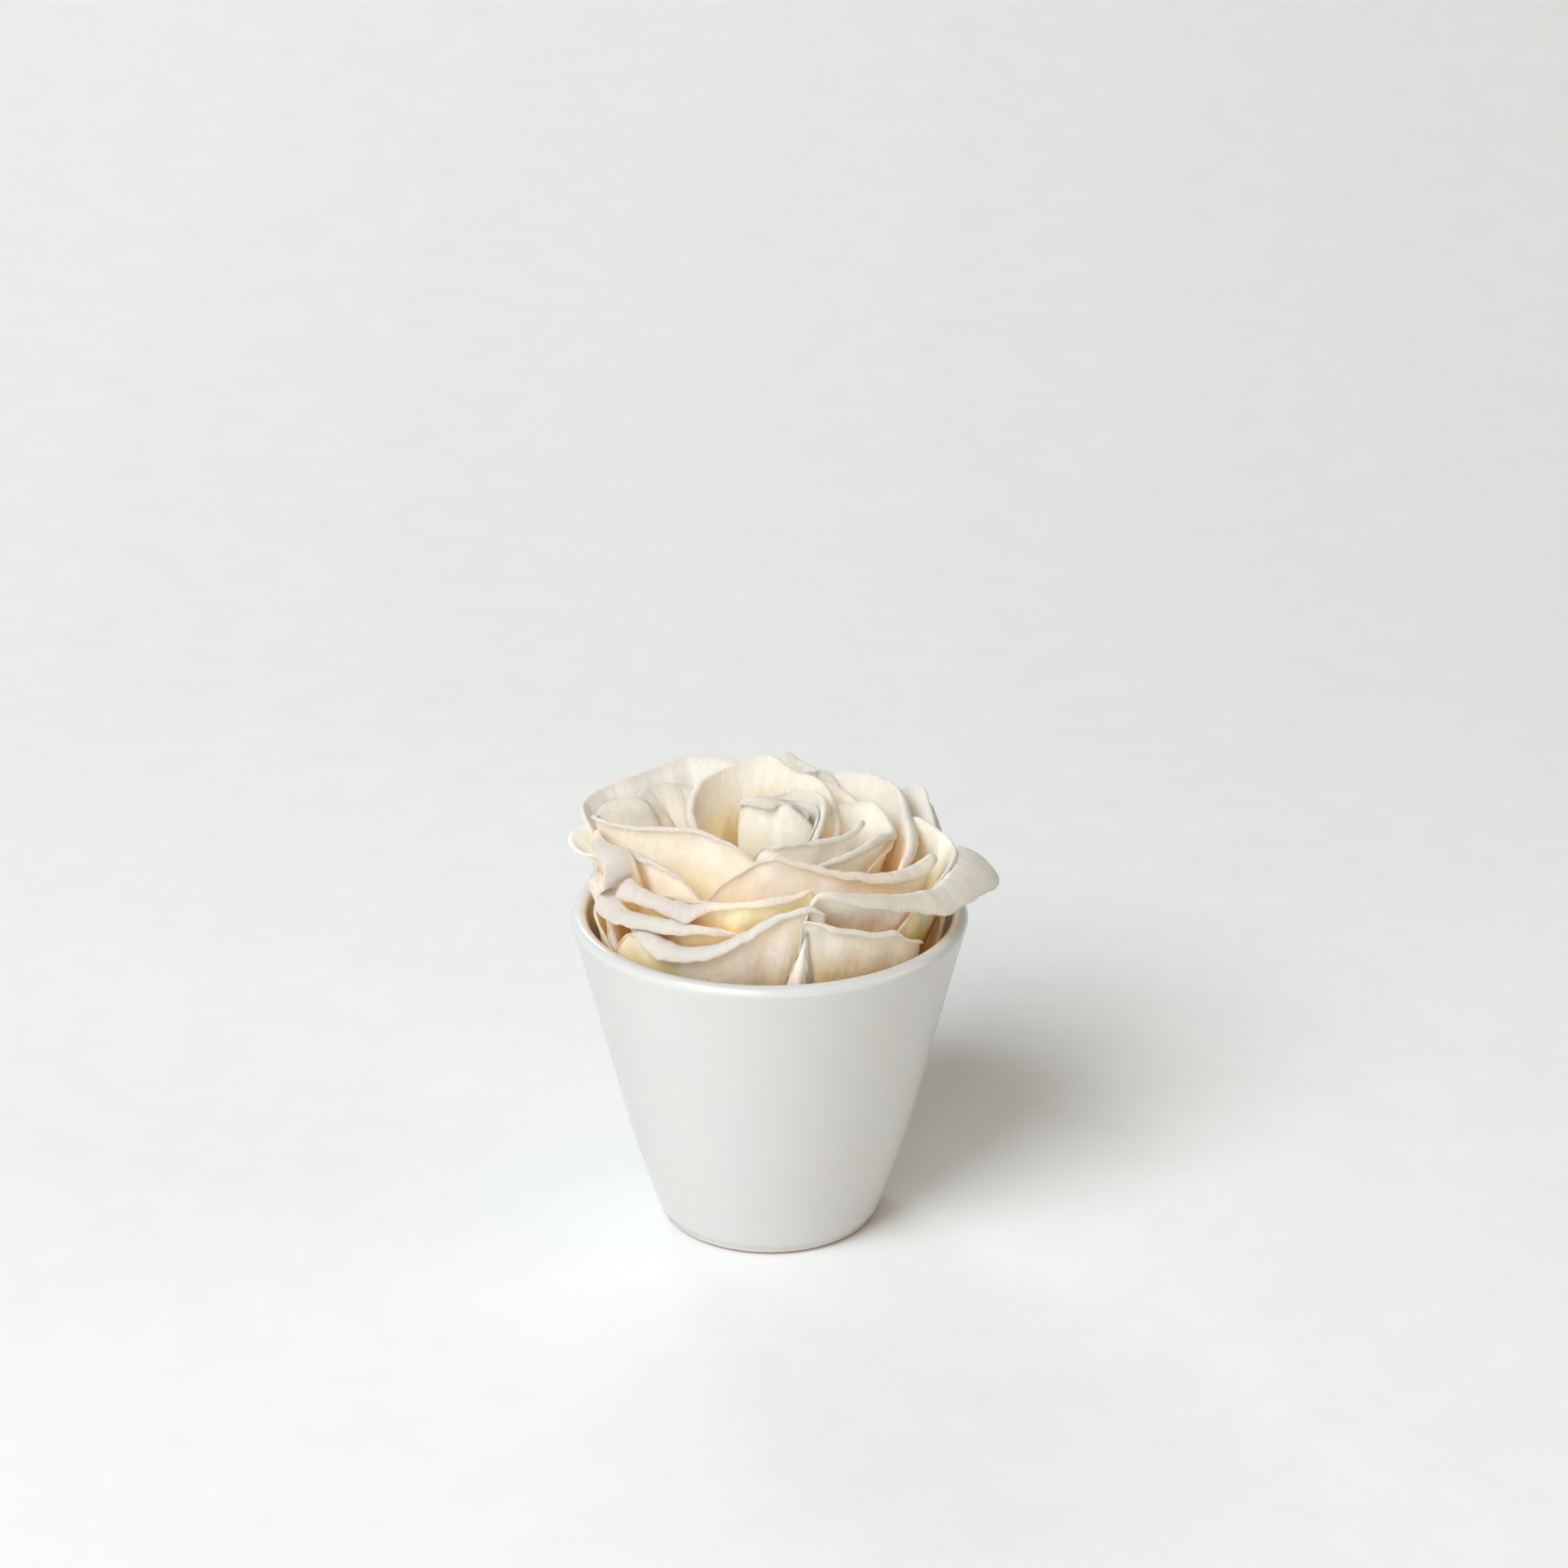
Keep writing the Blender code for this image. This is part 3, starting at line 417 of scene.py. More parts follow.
# a rim has stations of (azimuth, radius, height, width of the rolled lip) in degrees and
# millimetres, azimuth 0 at the front and 90 at the right. root is a radius and a height. flare
# and lean are the tilts at the root and under the rim, and belly and top say how far each holds.
# spread is the root's width as a share of the rim's, droop the tilt that the lip turns to, with
# several from end to end where it changes, and centre the point that the rim goes round
plainPetal = dict(root=(5, 46), lean=20, flare=55, belly=0.42, top=0.42, spread=0.35,
                  droop=168, centre=(0, 0))
petals = {
    "budCore": dict(
        rim=[(20, 2.2, 84.5, 0.2), (60, 4.6, 84.6, 0.3), (82, 6.4, 85.8, 0.3),
             (104, 6.4, 87, 0.3), (130, 4.6, 87.6, 0.3), (170, 2.8, 87.4, 0.2)],
        root=(1.2, 47), lean=-5, flare=10, centre=(1, 1.5)),
    "budFront": dict(
        rim=[(-100, 5.6, 87, 0.3), (-76, 7.2, 88.9, 0.6), (-57, 8.4, 90.5, 1.2),
             (-43, 7.8, 91.6, 1.8), (-28, 6.7, 91.9, 2.5), (-10, 5.9, 91.5, 2.6),
             (8, 6.4, 91, 0.5), (21, 7.4, 90.4, 0.3), (34, 9, 88.2, 0.3), (46, 10.2, 85.6, 0.3),
             (58, 10.4, 81, 0.3)],
        root=(2.5, 46), lean=-28, flare=16, belly=0.34, top=0.1, spread=0.9, centre=(1.5, 4.5)),
    "budInner": dict(
        rim=[(56, 8.6, 83, 0.2), (72, 9.3, 85.8, 0.3), (92, 9.6, 87.5, 0.3),
             (110, 9.4, 88.2, 0.3), (126, 7.6, 88.6, 0.3), (138, 5.6, 89, 0.3),
             (150, 4, 89.4, 0.3), (175, 3, 89.4, 0.3)],
        root=(2.5, 46), lean=-5, flare=20),
    "budWrap": dict(
        rim=[(46, 10.5, 83, 0.4), (58, 10.9, 85.6, 1), (76, 10.8, 87.6, 1.2), (97, 11, 88.7, 1.3),
             (117, 11.8, 89.3, 1.1), (135, 11, 89.5, 0.6), (151, 9.4, 89.3, 0.3),
             (170, 7.5, 88.6, 0.3), (200, 7, 87.6, 0.3)],
        root=(3, 46), lean=5, flare=30),
    "hood": dict(
        rim=[(74, 12.8, 80, 0.4), (90, 13.5, 83.6, 0.6), (114, 14.3, 85.8, 0.9),
             (132, 16.3, 87.5, 0.8), (151, 19, 89, 0.5), (166, 19.5, 89.6, 0.3),
             (181, 20, 92.3, 0.3), (202, 18.6, 91.1, 0.4), (226, 17.3, 91, 0.8),
             (248, 16.3, 90, 1.3), (270, 15.8, 87.9, 1.5), (281, 15, 85.3, 1.4),
             (290, 14, 82, 0.8)],
        root=(4, 46), lean=8, flare=45),
    "front1": dict(
        rim=[(-24, 11, 79, 0.3), (-16, 11.5, 82.3, 0.3), (-8, 12.2, 85.2, 0.4),
             (3, 13, 86.1, 0.8), (22, 13.2, 86.5, 0.9), (38, 13.8, 86.2, 1),
             (54, 14.8, 85.9, 1.1), (70, 16.8, 86, 1.2), (86, 18.4, 86.6, 1),
             (94, 17.5, 84, 0.5)],
        root=(4, 46), lean=3, flare=45),
    "front2": dict(
        rim=[(22, 16, 79, 0.3), (35, 17, 82.4, 0.8), (51, 18.9, 83.5, 1.2), (67, 20.6, 84.3, 1.5),
             (80, 22.3, 84.6, 1.8), (91, 24.4, 83.9, 1.6), (99, 23.8, 84.9, 0.9),
             (107, 23.4, 85.9, 0.6), (115, 22.7, 86.4, 0.4), (119, 20.2, 86.1, 0.4),
             (122, 17, 86, 0.3), (124, 14.5, 85.5, 0.3)],
        root=(4.5, 46), lean=12, flare=50),
    "front3": dict(
        rim=[(-34, 23.5, 76, 0.3), (-27, 21, 80, 0.3), (-17, 18, 82.5, 0.4),
             (-8, 16.8, 84.4, 0.8), (3, 18, 85.9, 0.9), (14, 18.6, 85.1, 1.1),
             (27, 20.2, 83.9, 1.4), (39, 23, 82.6, 1.6), (50, 26, 81.6, 2), (60, 28.9, 81.2, 2.6),
             (69, 31.4, 81.7, 3), (75, 33.2, 82.4, 1.8), (80, 32.5, 81, 0.6)],
        root=(5, 46), lean=8, flare=55),
    "front4": dict(
        rim=[(-97, 34.5, 85.5, 0.4), (-91, 35, 86.9, 0.7), (-84, 31.5, 87, 0.7),
             (-77, 27.5, 87.4, 0.8), (-70, 22.3, 87.8, 0.9), (-58, 17.8, 88.3, 0.9),
             (-45, 15.6, 87.4, 0.8), (-30, 14.4, 86, 0.6), (-13, 14.8, 83.6, 0.5),
             (0, 14.5, 80, 0.3)],
        root=(5, 46), lean=12, flare=55),
    "front5": dict(
        rim=[(-82, 31.5, 82, 0.4), (-75, 31, 83.8, 0.9), (-68, 29.3, 84, 1.2),
             (-60, 27.4, 83.4, 1.1), (-51, 25.6, 82.3, 0.6), (-42, 24.5, 80.4, 0.4),
             (-34, 24, 77.6, 0.4), (-28, 23.5, 74, 0.3)],
        root=(5.5, 46), lean=14, flare=58),
    "front6": dict(
        rim=[(-60, 31.8, 80.5, 4.6), (-57, 32, 80.2, 4.4), (-50, 32, 80, 3.4),
             (-43, 31.8, 79.7, 3), (-36, 31.5, 79.5, 3.4), (-31.5, 31.3, 79.6, 4.1),
             (-27.5, 31.2, 79.8, 3.7), (-22, 31, 80.4, 1.8), (-11, 31, 81.4, 1.1),
             (0, 31, 82.4, 1.6), (9, 30.7, 83, 1.2), (15, 30.2, 83.4, 0.5), (20, 29, 80, 0.3)],
        root=(6, 45), lean=6, flare=62),
    "front7": dict(
        rim=[(12, 33.5, 79, 0.3), (14, 32.5, 81.5, 0.6), (18, 31.5, 83.2, 1.2),
             (27, 31.8, 82.4, 2.4), (39, 32.6, 80.8, 3.2), (52, 34, 79.2, 4.2),
             (62, 35.8, 78.3, 6.2), (68, 36.6, 78.3, 6.4), (75, 37.2, 78.8, 7.4),
             (84, 37.6, 79.7, 10.2), (92, 37.5, 80.2, 11.3)],
        root=(6, 45), lean=14, flare=62, droop=(170, 170, 172, 176, 175, 168, 158, 148, 148, 150)),
    "left1": dict(
        rim=[(-90, 34.6, 84, 0.8), (-83, 34.4, 85.6, 1.2), (-79.5, 33.6, 84.6, 2.6),
             (-69.5, 32.2, 85, 4.6), (-64, 31, 84.6, 6.4), (-61.7, 30.6, 81.6, 7),
             (-64, 31.2, 78.5, 6.4), (-65.5, 32.6, 77, 5.4), (-62.4, 33.6, 76, 5),
             (-57.7, 34, 75.1, 4), (-50.5, 34.2, 75.5, 3.4), (-42, 33.8, 76.1, 3),
             (-33, 33.4, 76.5, 3.2), (-25, 33, 76.4, 1.8), (-17, 31.8, 75.6, 1.4),
             (-9, 30.6, 74.6, 0.8)],
        root=(6.5, 45), lean=12, flare=66,
        droop=(150, 135, 120, 120, 125, 135, 150, 165, 168, 168, 168, 168)),
    "front9": dict(
        rim=[(-52, 34.4, 71, 0.6), (-47, 34.5, 73.2, 2.2), (-41, 34.5, 72.9, 3.8),
             (-35, 34.4, 72.3, 4.2), (-28, 34.3, 72, 3.4), (-20, 34.1, 73, 3),
             (-13, 33.8, 74.8, 2.6), (-6, 33.4, 77.2, 2.2), (1, 33, 79.4, 1.6),
             (7, 32.9, 80.4, 1.1), (13, 33, 81.4, 1.2), (19, 33, 79.5, 0.6)],
        root=(7, 44), lean=2, flare=70, spread=0.85),
    "front10": dict(
        rim=[(12.6, 33.4, 68, 0.5), (11.8, 33.5, 73, 0.5), (11, 33.6, 78.2, 0.4),
             (16, 33.8, 78, 0.5), (21, 34, 77, 1.2), (31, 34.2, 75, 1.2), (41, 34.3, 73.1, 1.2),
             (45.5, 34.5, 72.7, 1.1), (52, 34.7, 69.8, 0.8), (59, 34.8, 68, 0.8)],
        root=(7.5, 44), lean=2, flare=74),
    "front11": dict(
        rim=[(-66, 33.6, 62, 0.3), (-61, 34.4, 66, 0.3), (-55, 34.8, 69.6, 0.4),
             (-49, 34.7, 72, 0.4), (-41, 34.2, 72.2, 0.4), (-32, 33, 70.6, 0.4),
             (-23, 30, 66.5, 0.4), (-16, 26.5, 61, 0.3)],
        root=(7.5, 44), lean=0, flare=76),
    "facet": dict(
        rim=[(1, 31.3, 58, 0.2), (4, 32, 63, 0.2), (7.2, 32.8, 68, 0.2), (9.8, 33.6, 72.5, 0.2),
             (11.2, 33.9, 76, 0.2), (12.4, 33.6, 76.5, 0.2), (13.6, 32.7, 74, 0.2),
             (15.2, 31.7, 68, 0.2), (16.5, 30.8, 60, 0.2)],
        root=(8, 44), lean=-6, flare=76),
    "gapLeft": dict(
        rim=[(-125, 33.4, 60, 0.3), (-112, 34.6, 64.5, 0.4), (-98, 35, 66.5, 0.4),
             (-85, 35, 67, 0.4), (-75, 34.7, 66.5, 0.4), (-66, 34.2, 64, 0.4),
             (-60, 33.4, 60, 0.3)],
        root=(7.5, 44), lean=10, flare=74),
    "leftLow": dict(
        rim=[(-112, 32, 70, 0.4), (-103, 33, 73, 1.2), (-92, 33.8, 75, 2.2), (-83, 34, 74.2, 2.4),
             (-75, 34, 73.2, 2), (-69, 34.2, 72, 1), (-67.5, 34.5, 69, 0.4), (-69, 34, 64, 0.3)],
        root=(7, 44), lean=12, flare=72, droop=125),
    "leftTip": dict(
        rim=[(-106, 34, 81, 0.4), (-100, 36.4, 83, 0.6), (-93.5, 38, 83.6, 0.7),
             (-90, 39.4, 83.3, 0.8), (-86, 39.5, 82.6, 0.8), (-79, 37.6, 82.2, 0.6),
             (-74.5, 35.5, 82.6, 0.5), (-69, 34, 82.8, 0.4)],
        root=(6.5, 45), lean=52, flare=64, droop=170),
    "leftMid": dict(
        rim=[(247, 25.2, 83.5, 0.3), (249.2, 26.2, 86.4, 0.4), (250.9, 27.5, 87.6, 0.4),
             (252.9, 28.9, 87.8, 0.4), (256, 31, 87.8, 0.4), (259.8, 33.8, 87.1, 0.4),
             (263, 34.9, 85, 0.4), (267, 34.6, 81.5, 0.3)],
        root=(5, 46), lean=30, flare=55, top=0.5),
    "leftInner": dict(
        rim=[(206, 20, 82, 0.3), (211, 22, 83.6, 0.3), (217, 25, 85.2, 0.3),
             (225.5, 27.5, 86.4, 0.3), (233.5, 29.5, 86.8, 0.3), (242.6, 29.8, 86.2, 0.3),
             (250, 29.4, 84, 0.3), (256, 28.5, 81, 0.3)],
        root=(5, 46), lean=52, flare=50, top=0.5),
    "backLeft": dict(
        rim=[(172, 30.5, 82, 0.3), (181, 32.6, 85.9, 0.4), (189, 34.2, 85.4, 0.4),
             (196, 35, 86.6, 0.4), (207, 35.6, 87.6, 0.4), (219, 34.8, 87.3, 0.4),
             (233, 34.8, 87.4, 0.5), (247, 37.6, 87, 0.6), (255, 38.4, 86.8, 0.7),
             (262, 38, 86.5, 0.6), (270, 35.8, 84.6, 0.5), (276, 33.5, 80, 0.4)],
        root=(6, 45), lean=32, flare=58),
    "backTip": dict(
        rim=[(149, 28.5, 83, 0.3), (156, 29.6, 85.6, 0.3), (163, 30.4, 86.2, 0.3),
             (168.5, 30.6, 87.5, 0.3), (173, 30.2, 89.2, 0.3), (177, 29.2, 88, 0.3),
             (185, 28, 87.2, 0.3), (194, 27.5, 84, 0.3)],
        root=(5.5, 45), lean=18, flare=55),
    "backRight": dict(
        rim=[(70, 26.3, 76, 0.4), (77, 27, 79, 1.2), (87, 28, 80.8, 2), (97, 28.6, 82.2, 2.2),
             (109, 29.2, 83.6, 2.2), (120, 31, 85.4, 1.6), (129, 32.2, 86, 0.7),
             (140, 32.4, 86.3, 0.4), (149, 31.8, 86, 0.4), (157, 30.6, 85.7, 0.3),
             (164, 29.2, 85.4, 0.3), (170, 27.6, 84, 0.3)],
        root=(5.5, 45), lean=15, flare=55),
    "behindRight": dict(
        rim=[(94, 33.5, 77, 0.4), (100, 34.6, 80.2, 0.4), (108, 35, 81, 0.4), (116, 36, 83, 0.4),
             (124, 37.4, 85.1, 0.4), (131, 36, 83.4, 0.4), (140, 34.5, 80, 0.4)],
        root=(6.5, 45), lean=25, flare=62),
    "right6": dict(
        rim=[(60, 33, 73, 0.4), (68, 34.8, 77.2, 0.5), (77, 36.4, 79.3, 0.6), (85, 37, 80.5, 0.6),
             (92, 36.6, 80.7, 0.5), (98, 35.2, 81.3, 0.4), (103, 33.4, 82.2, 0.4),
             (108, 31, 83, 0.3), (113, 28.5, 82, 0.3)],
        root=(6, 45), lean=28, flare=60),
    "rightIn": dict(
        rim=[(50, 32.5, 71, 0.4), (57, 34, 75, 0.4), (66, 35, 76.5, 0.4), (76, 35.5, 76.8, 0.4),
             (84, 35.7, 75, 0.4), (85, 35.5, 70.5, 0.4), (80, 34.9, 66, 0.4),
             (75, 33.9, 61, 0.4)],
        root=(7, 44), lean=12, flare=72),
    "mid1": dict(
        rim=[(120, 22.5, 80, 0.3), (132, 24, 83.5, 0.4), (148, 25, 85, 0.4),
             (165, 25.3, 85.4, 0.4), (182, 25, 85.2, 0.4), (198, 24, 84.2, 0.4),
             (208, 22.8, 80, 0.3)],
        root=(5, 46), lean=18, flare=52),
    "mid2": dict(
        rim=[(205, 23.5, 70, 0.3), (216, 25, 74.5, 0.4), (232, 26, 76, 0.4),
             (248, 25.5, 76.2, 0.4), (262, 24, 75.2, 0.4), (274, 22.5, 72, 0.3)],
        root=(5, 46), lean=18, flare=52),
    "mid4": dict(
        rim=[(60, 20, 77, 0.3), (72, 22, 80, 0.4), (86, 24, 81.3, 0.5), (100, 25, 81.8, 0.5),
             (114, 25, 81.5, 0.4), (124, 24, 78, 0.3)],
        root=(5, 46), lean=18, flare=54),
    "mid5": dict(
        rim=[(-60, 25, 74, 0.3), (-48, 26.5, 77.5, 0.6), (-34, 27, 78.6, 1), (-18, 27, 79, 1),
             (-4, 26.8, 79.4, 1), (8, 26, 77, 0.4)],
        root=(5.5, 45), lean=20, flare=58, spread=0.6),
    "mid6": dict(
        rim=[(-6, 24.5, 74, 0.3), (8, 25.8, 78.2, 0.8), (24, 26.8, 78.8, 1), (40, 28, 77.8, 1),
             (55, 29, 77, 1), (66, 28.5, 74, 0.4)],
        root=(5.5, 45), lean=20, flare=58, spread=0.6),
    "outer1": dict(
        rim=[(100, 33.4, 73, 0.4), (108, 35.8, 77.6, 1.4), (118, 37.6, 79.4, 2.6),
             (127, 38.8, 81.6, 3.4), (137, 38, 80.6, 2.2), (147, 37.4, 79.2, 1.4),
             (156, 35.4, 75.6, 0.8), (161, 33.8, 72, 0.4)],
        root=(6.5, 45), lean=40, flare=62),
    "outer2": dict(
        rim=[(147, 34, 72, 0.4), (154, 36.4, 77, 1.2), (163, 37.6, 79, 1.8),
             (173, 38.8, 82.2, 3.2), (182, 37.4, 81.2, 2), (193, 38.2, 80.6, 2.4),
             (204, 36.8, 77.4, 1.4), (211, 34.8, 73.4, 0.6)],
        root=(6.5, 45), lean=33, flare=62),
    "outer3": dict(
        rim=[(203, 33.6, 71, 0.4), (211, 35.6, 75.6, 0.8), (220, 37.4, 79.6, 2.6),
             (229, 37.2, 79, 1.6), (239, 38.8, 81.2, 3), (248, 38, 78.8, 1.6), (257, 36.4, 76, 1),
             (263, 34.6, 72, 0.5)],
        root=(6.5, 45), lean=38, flare=62),
    "low1": dict(
        rim=[(82, 33.6, 65, 0.3), (92, 34.4, 69.5, 0.8), (103, 35.2, 73.8, 1.6),
             (116, 34.6, 72.6, 0.8), (128, 35.4, 74.6, 1.6), (139, 34.4, 71.4, 0.6),
             (147, 33.6, 67, 0.4)],
        root=(7, 44), lean=22, flare=72),
    "low2": dict(
        rim=[(140, 33.8, 66, 0.3), (151, 35, 71.4, 1.2), (163, 34.8, 73.2, 0.8),
             (177, 35.6, 76, 1.8), (189, 34.8, 73.6, 1), (201, 34.6, 71.6, 0.6),
             (210, 33.6, 66.5, 0.3)],
        root=(7, 44), lean=18, flare=72),
    "low3": dict(
        rim=[(203, 33.6, 66, 0.3), (213, 34.4, 70.2, 0.5), (225, 35.4, 75.2, 1.8),
             (238, 34.8, 72.8, 0.8), (248, 34.8, 73.4, 1), (258, 33.8, 67.5, 0.4)],
        root=(7, 44), lean=21, flare=72),
}


def smoothRim(stations, count):
    # a Catmull-Rom curve through the stations
    stations = np.array(stations, float)
    control = np.vstack([2 * stations[0] - stations[1], stations, 2 * stations[-1] - stations[-2]])
    place = np.linspace(0.0, len(stations) - 1, count)
    index = np.minimum(place.astype(int), len(stations) - 2)
    t = (place - index)[:, None]
    a, b, c, d = (control[index + k] for k in range(4))
    return 0.5 * (2 * b + (c - a) * t + (2 * a - 5 * b + 4 * c - d) * t ** 2
                  + (3 * b - a - 3 * c + d) * t ** 3)


def around(azimuth, radius, height):
    height = height + 0.0 * azimuth
    return np.stack([radius * np.sin(azimuth), -radius * np.cos(azimuth), height], -1)


def unit(vectors):
    return vectors / np.maximum(np.linalg.norm(vectors, axis=-1, keepdims=True), 1e-9)


def ripple(draw, across, along, shortest, longest):
    # five crossing waves with lengths in millimetres, about -1 to 1
    total = 0.0
    for turn in range(5):
        length = shortest * (longest / shortest) ** draw.random()
        slant = draw.uniform(-0.35, 0.35)
        start = 6.3 * draw.random()
        total = total + np.sin(2 * math.pi * (across + slant * along) / length + start)
    return total / 2.5


def petalRim(shape, draw):
    # even steps along the rim, with the azimuth, the lip's width and the crest at each
    curve = smoothRim(shape["rim"], bloom["rimPoints"])
    centre = np.array([*shape["centre"], 0.0])
    points = centre + around(np.radians(curve[:, 0]), curve[:, 1], curve[:, 2])
    length = np.r_[0.0, np.cumsum(np.linalg.norm(np.diff(points, axis=0), axis=1))]
    columns = max(bloom["leastColumns"], int(length[-1] / bloom["columnWidth"]))
    even = np.linspace(0.0, length[-1], columns + 1)
    azimuth, radius, height, lip = (np.interp(even, length, curve[:, k]) for k in range(4))
    azimuth = np.radians(azimuth)
    ends = np.clip(np.minimum(even, length[-1] - even) / 4.0, 0.0, 1.0)
    height = height + bloom["rimWave"] * ends * ripple(draw, even, 0.0, *bloom["rimWaveLength"])
    lip = np.maximum(lip, bloom["thinLip"])
    swell = ripple(draw, even, 0.0, *bloom["lipWaveLength"])
    lip = lip + bloom["lipWave"] * np.minimum(lip, 2.0) * swell
    return even, azimuth, lip, centre + around(azimuth, radius, height)


def rimOutward(azimuth, crest):
    # level, square to the rim where the rim runs level and away from the axis where it climbs
    run = unit(np.gradient(crest, axis=0))
    level = np.linalg.norm(run[:, :2], axis=1)[:, None]
    side = unit(np.stack([run[:, 1], -run[:, 0], 0.0 * azimuth], -1))
    outward = unit(level ** 2 * side + (1.05 - level ** 2) * around(azimuth, 1.0, 0.0))
    for turn in range(bloom["rimSmooth"]):
        outward[1:-1] = unit(outward[:-2] + 2 * outward[1:-1] + outward[2:])
    return outward


def petalBody(shape, azimuth, outward, shoulder):
    # rows along a Bezier curve from the root up to the shoulder, where the rim starts to roll
    lean = math.radians(shape["lean"])
    flare = math.radians(shape["flare"])
    middle = (azimuth.min() + azimuth.max()) / 2
    rootAzimuth = middle + shape["spread"] * (azimuth - middle)
    root = around(rootAzimuth, *shape["root"])
    reach = np.linalg.norm(shoulder - root, axis=1)[:, None]
    springs = math.sin(flare) * around(rootAzimuth, 1.0, 0.0) + math.cos(flare) * up
    arrives = math.sin(lean) * outward + math.cos(lean) * up
    low = root + shape["belly"] * reach * springs
    high = shoulder - shape["top"] * reach * arrives
    rows = []
    for t in np.linspace(0.0, 1.0, bloom["bodyRows"] + 1) ** 0.8:
        rows.append((1 - t) ** 3 * root + 3 * (1 - t) ** 2 * t * low + 3 * (1 - t) * t ** 2 * high
                    + t ** 3 * shoulder)
    return rows


def petalRoll(shape, outward, shoulder, roll):
    # rows round the small roll, from the lean of the petal to level at the crest
    lean = math.radians(shape["lean"])
    rows = []
    for share in np.linspace(0.0, 1.0, bloom["rollRows"] + 1)[1:]:
        tilt = lean + (math.pi / 2 - lean) * share
        rows.append(shoulder + roll * ((math.cos(lean) - math.cos(tilt)) * outward
                                       + (math.sin(tilt) - math.sin(lean)) * up))
    return rows


def petalLip(shape, lip, outward, crest):
    # rows from the crest outwards and down, in small steps that turn towards the droop
    droop = np.atleast_1d(np.radians(shape["droop"]))
    droop = np.interp(np.linspace(0.0, 1.0, len(lip)), np.linspace(0.0, 1.0, len(droop)), droop)
    droop = math.pi / 2 + (droop - math.pi / 2) * np.clip(lip, 0.35, 1.0)
    rows = []
    end = crest
    fine = bloom["lipSteps"] * bloom["lipRows"]
    for step in range(fine):
        tilt = (math.pi / 2 + (droop - math.pi / 2) * ((step + 0.5) / fine) ** 0.6)[:, None]
        end = end + lip[:, None] / fine * (np.sin(tilt) * outward + np.cos(tilt) * up)
        if (step + 1) % bloom["lipSteps"] == 0:
            rows.append(end)
    return rows


def petalSurface(shape, draw):
    # rows of points from the root to the lip's end, with their way across and along the petal,
    # and how far its lip curls
    even, azimuth, lip, crest = petalRim(shape, draw)
    outward = rimOutward(azimuth, crest)
    lean = math.radians(shape["lean"])
    roll = np.clip(bloom["rollShare"] * lip, bloom["rollLeast"], bloom["rollMost"])[:, None]
    shoulder = crest - roll * (math.cos(lean) * outward + (1.0 - math.sin(lean)) * up)
    rows = petalBody(shape, azimuth, outward, shoulder)
    rows += petalRoll(shape, outward, shoulder, roll)
    crestRow = len(rows) - 1
    surface = np.array(rows + petalLip(shape, lip, outward, crest))

    steps = np.linalg.norm(np.diff(surface, axis=0), axis=2)
    along = np.vstack([np.zeros(len(even)), np.cumsum(steps, axis=0)])
    along = along[crestRow] - along  # millimetres below the rim, negative on the lip
    across = np.tile(even, (len(surface), 1))
    fade = np.clip(along / 5.0, 0.25, 1.0) * np.clip((along[0] - along) / 14.0, 0.0, 1.0)
    wave = bloom["wave"] * ripple(draw, across, along, *bloom["waveLength"])
    crinkle = ripple(draw, across, along, *bloom["crinkleLength"])
    crinkle = crinkle + ripple(draw, along, across, *bloom["crossLength"])
    dent = fade * wave + bloom["crinkle"] * np.clip(fade * 2.0, 0.0, 1.0) * crinkle
    surface = surface + dent[:, :, None] * faceNormals(surface)
    return surface, across, along, np.clip((lip - 0.5) / 1.5, 0.0, 1.0)


def faceNormals(surface):
    return unit(np.cross(np.gradient(surface, axis=1), np.gradient(surface, axis=0)))


def petalPiece(name, shape, number, finish):
    draw = np.random.default_rng(bloom["seed"] * 100 + number)
    surface, across, along, curl = petalSurface(shape, draw)
    rows, columns = along.shape
    border = np.minimum(across, across[:, -1:] - across)
    full = np.clip((along - along[-1]) / 1.2, 0.0, 1.0)
    full = np.minimum(full, np.clip(border / 1.5, 0.0, 1.0))  # thinner towards every free edge
    half = 0.5 * (bloom["edge"] + (bloom["thickness"] - bloom["edge"]) * full)[:, :, None]
    normals = faceNormals(surface)
    front = (surface + half * normals).reshape(-1, 3)
    vertices = np.vstack([front, (surface - half * normals).reshape(-1, 3)])
    back = rows * columns
    faces = []
    for i in range(rows - 1):
        for j in range(columns - 1):
            a = i * columns + j
            faces.append((a, a + 1, a + columns + 1, a + columns))
            faces.append((back + a, back + a + columns, back + a + columns + 1, back + a + 1))
    outline = [(0, j) for j in range(columns - 1)]
    outline += [(i, columns - 1) for i in range(rows - 1)]
    outline += [(rows - 1, j) for j in range(columns - 1, 0, -1)]
    outline += [(i, 0) for i in range(rows - 1, 0, -1)]
    loop = [i * columns + j for i, j in outline]
    for a, b in zip(loop, loop[1:] + loop[:1]):
        faces.append((a, back + a, back + b, b))
    piece = makePiece(name, vertices, faces, finish)
    surfaceValues = {"depth": np.tile(along.ravel(), 2), "curl": np.tile(curl, 2 * rows),
                     "gold": np.full(2 * back, float(petalGoldAndPaintedGlow.get(name, 0))),
                     "white": np.full(2 * back, petalPaintedLight.get(name, 0.0))}
    for label, values in surfaceValues.items():
        piece.data.attributes.new(label, "FLOAT", "POINT").data.foreach_set("value", values)
    layer = 0.0 * along + bloom["nextGrain"] * number  # every petal has a pattern of its own
    grain = np.stack([across, along, layer], -1).reshape(-1, 3)
    data = piece.data.attributes.new("grain", "FLOAT_VECTOR", "POINT").data
    data.foreach_set("vector", np.tile(grain, (2, 1)).ravel())
    return piece


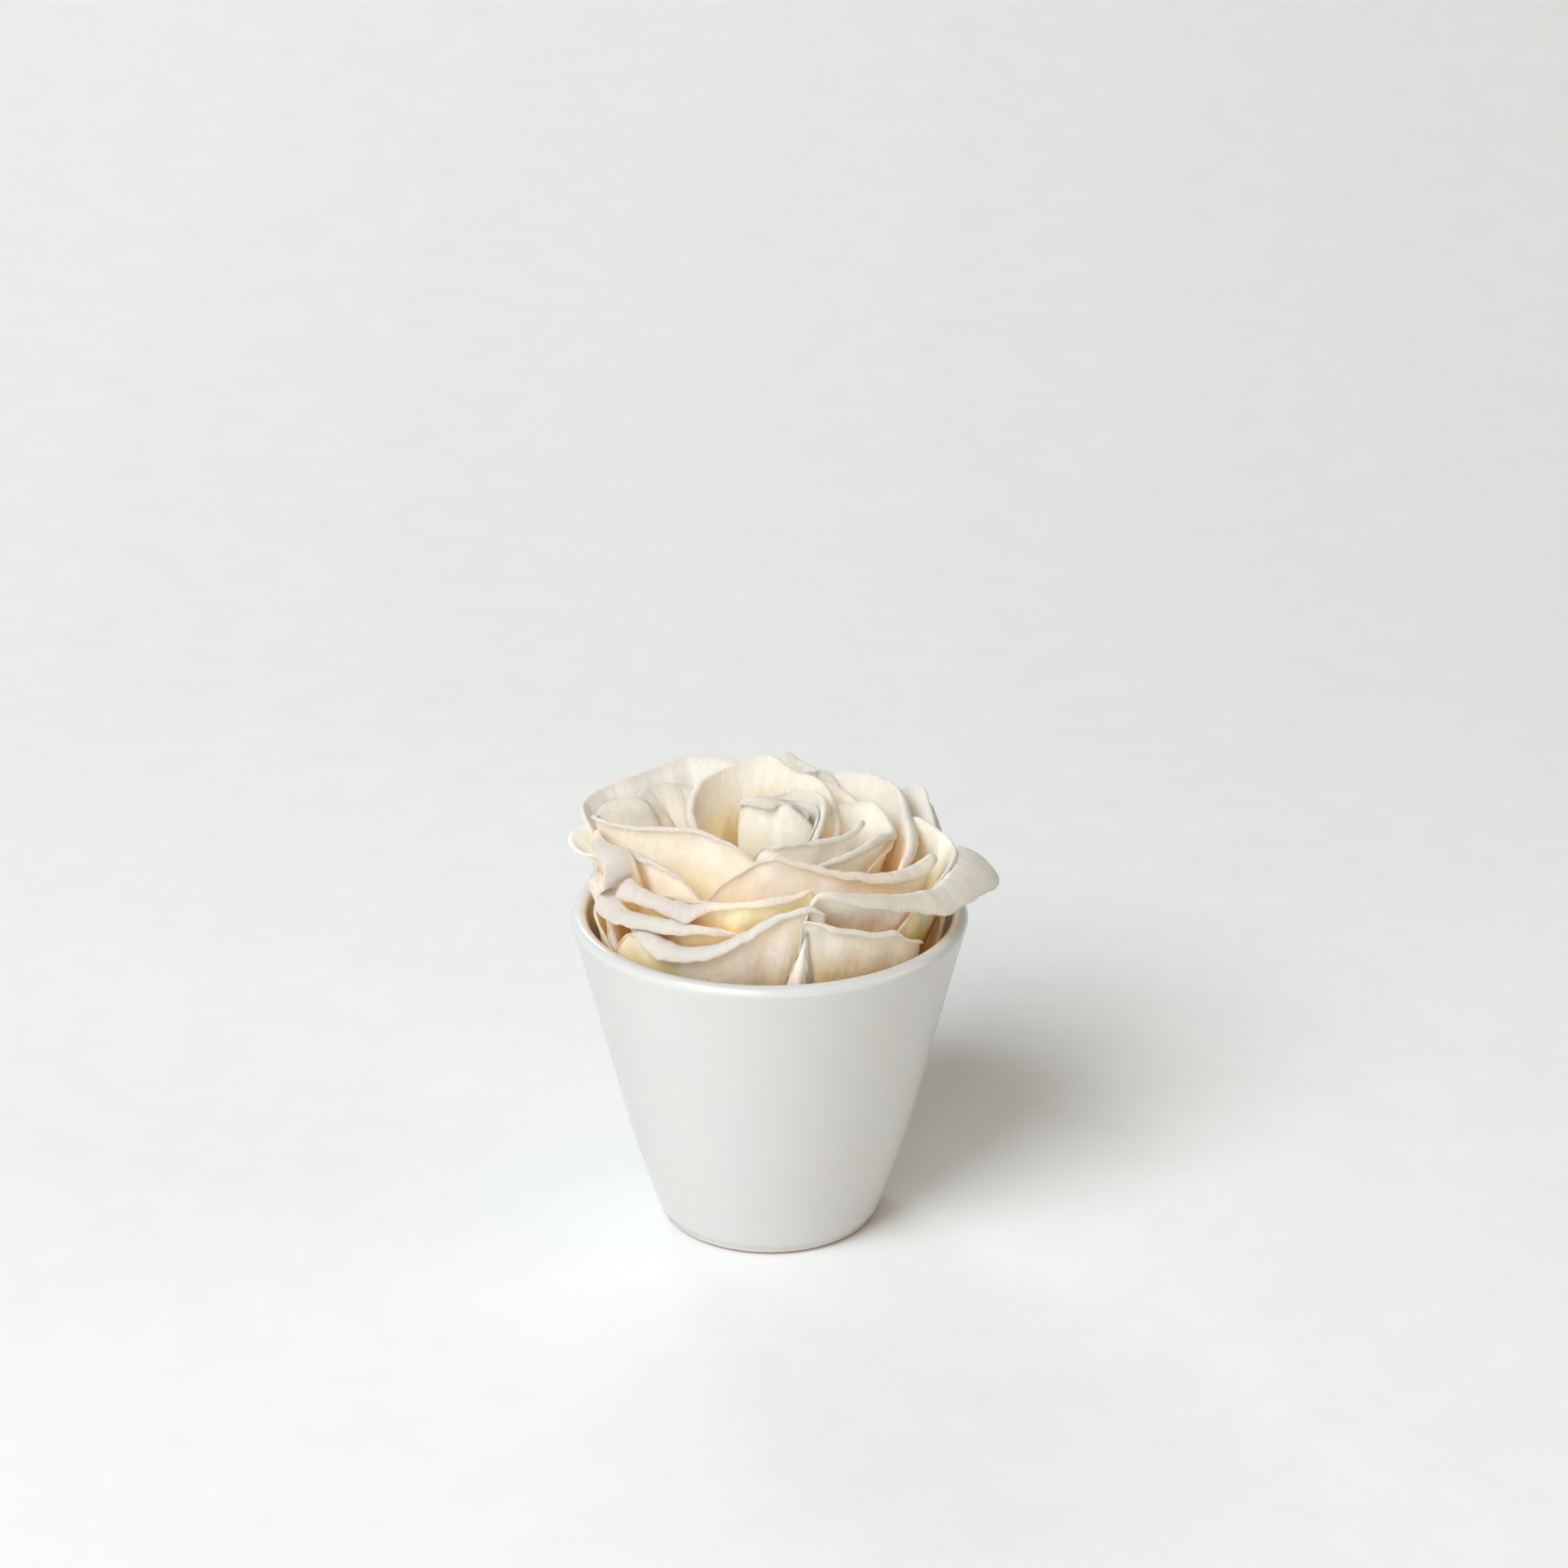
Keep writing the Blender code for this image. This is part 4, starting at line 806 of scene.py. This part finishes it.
def petalFinish():
    finish = Finish("creamPetal", {
        "Roughness": 0.6, "Specular IOR Level": 0.28, "Sheen Weight": 0.12, "Sheen Roughness": 0.4,
        "Subsurface Weight": 1.0, "Subsurface Radius": (1.0, 1.0, 1.0), "Subsurface Scale": 0.0019,
    })
    grain = finish.attribute("grain", "Vector")
    depth = finish.attribute("depth", "Fac")
    gold = finish.attribute("gold", "Fac")
    white = finish.attribute("white", "Fac")
    curl = finish.attribute("curl", "Fac")
    pattern = {}
    for name, (stretch, *settings) in petalPatterns.items():
        pattern[name] = finish.noise(finish.stretched(grain, 1.0, stretch, 1.0), *settings)
    cloud = bloom["mottle"] * (pattern["mottle"] - 0.5)
    # the change from cream to gold with depth is the petals' own colour; each petal's gold shift
    # is partly painted light
    share = (depth + gold + cloud) * (1.0 / bloom["goldReach"])
    colour = finish.ramp(share, [(0.03, bloom["rim"]), (0.22, bloom["middle"]),
                                 (0.50, bloom["deep"]), (0.85, bloom["root"])])
    # painted light: some petals are made paler from just below the rim to about 13 mm down, as
    # much as their white value says
    white = white * finish.between(depth, 0.2, 2.6) * (1.0 - finish.between(depth, 6.0, 13.0))
    colour = finish.mix(white, colour, (*bloom["white"], 1.0))
    pale = (0.35 + 0.65 * curl) * (1.0 - finish.between(depth, -0.4, 0.6))
    colour = finish.mix(pale, colour, (*bloom["lip"], 1.0))
    # the veins are the petal's own darker lines; the folds are darkened as painted shade in the
    # creases and also give the bump; both darken more further below the rim
    streak = finish.between(pattern["veins"], 0.3, 0.7)
    foldShadeAndRelief = finish.between(pattern["folds"], 0.4, 0.64)
    shade = (0.09 * streak + 0.11 * foldShadeAndRelief) * (0.45 + 0.55 * finish.between(depth, 0.0, 8.0))
    finish.shows("Base Color", finish.mix(shade, colour, (*bloom["shade"], 1.0)))
    relief = 0.3 * pattern["veins"] + 0.8 * pattern["creases"] + 0.25 * foldShadeAndRelief
    finish.bump(relief + 0.06 * pattern["velvet"], 0.0004, 0.6)
    return finish


petalSkin = petalFinish()
petalPieces = []
for number, (name, shape) in enumerate(petals.items()):
    petalPieces.append(petalPiece(name, {**plainPetal, **shape}, number, petalSkin))
core = turnedPiece("heart", heart, 48, petalSkin)
for piece in petalPieces + [core]:
    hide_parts("bloom")
faceCount = sum(len(piece.data.polygons) for piece in petalPieces)
print("petals:", len(petalPieces), "with", faceCount, "faces")
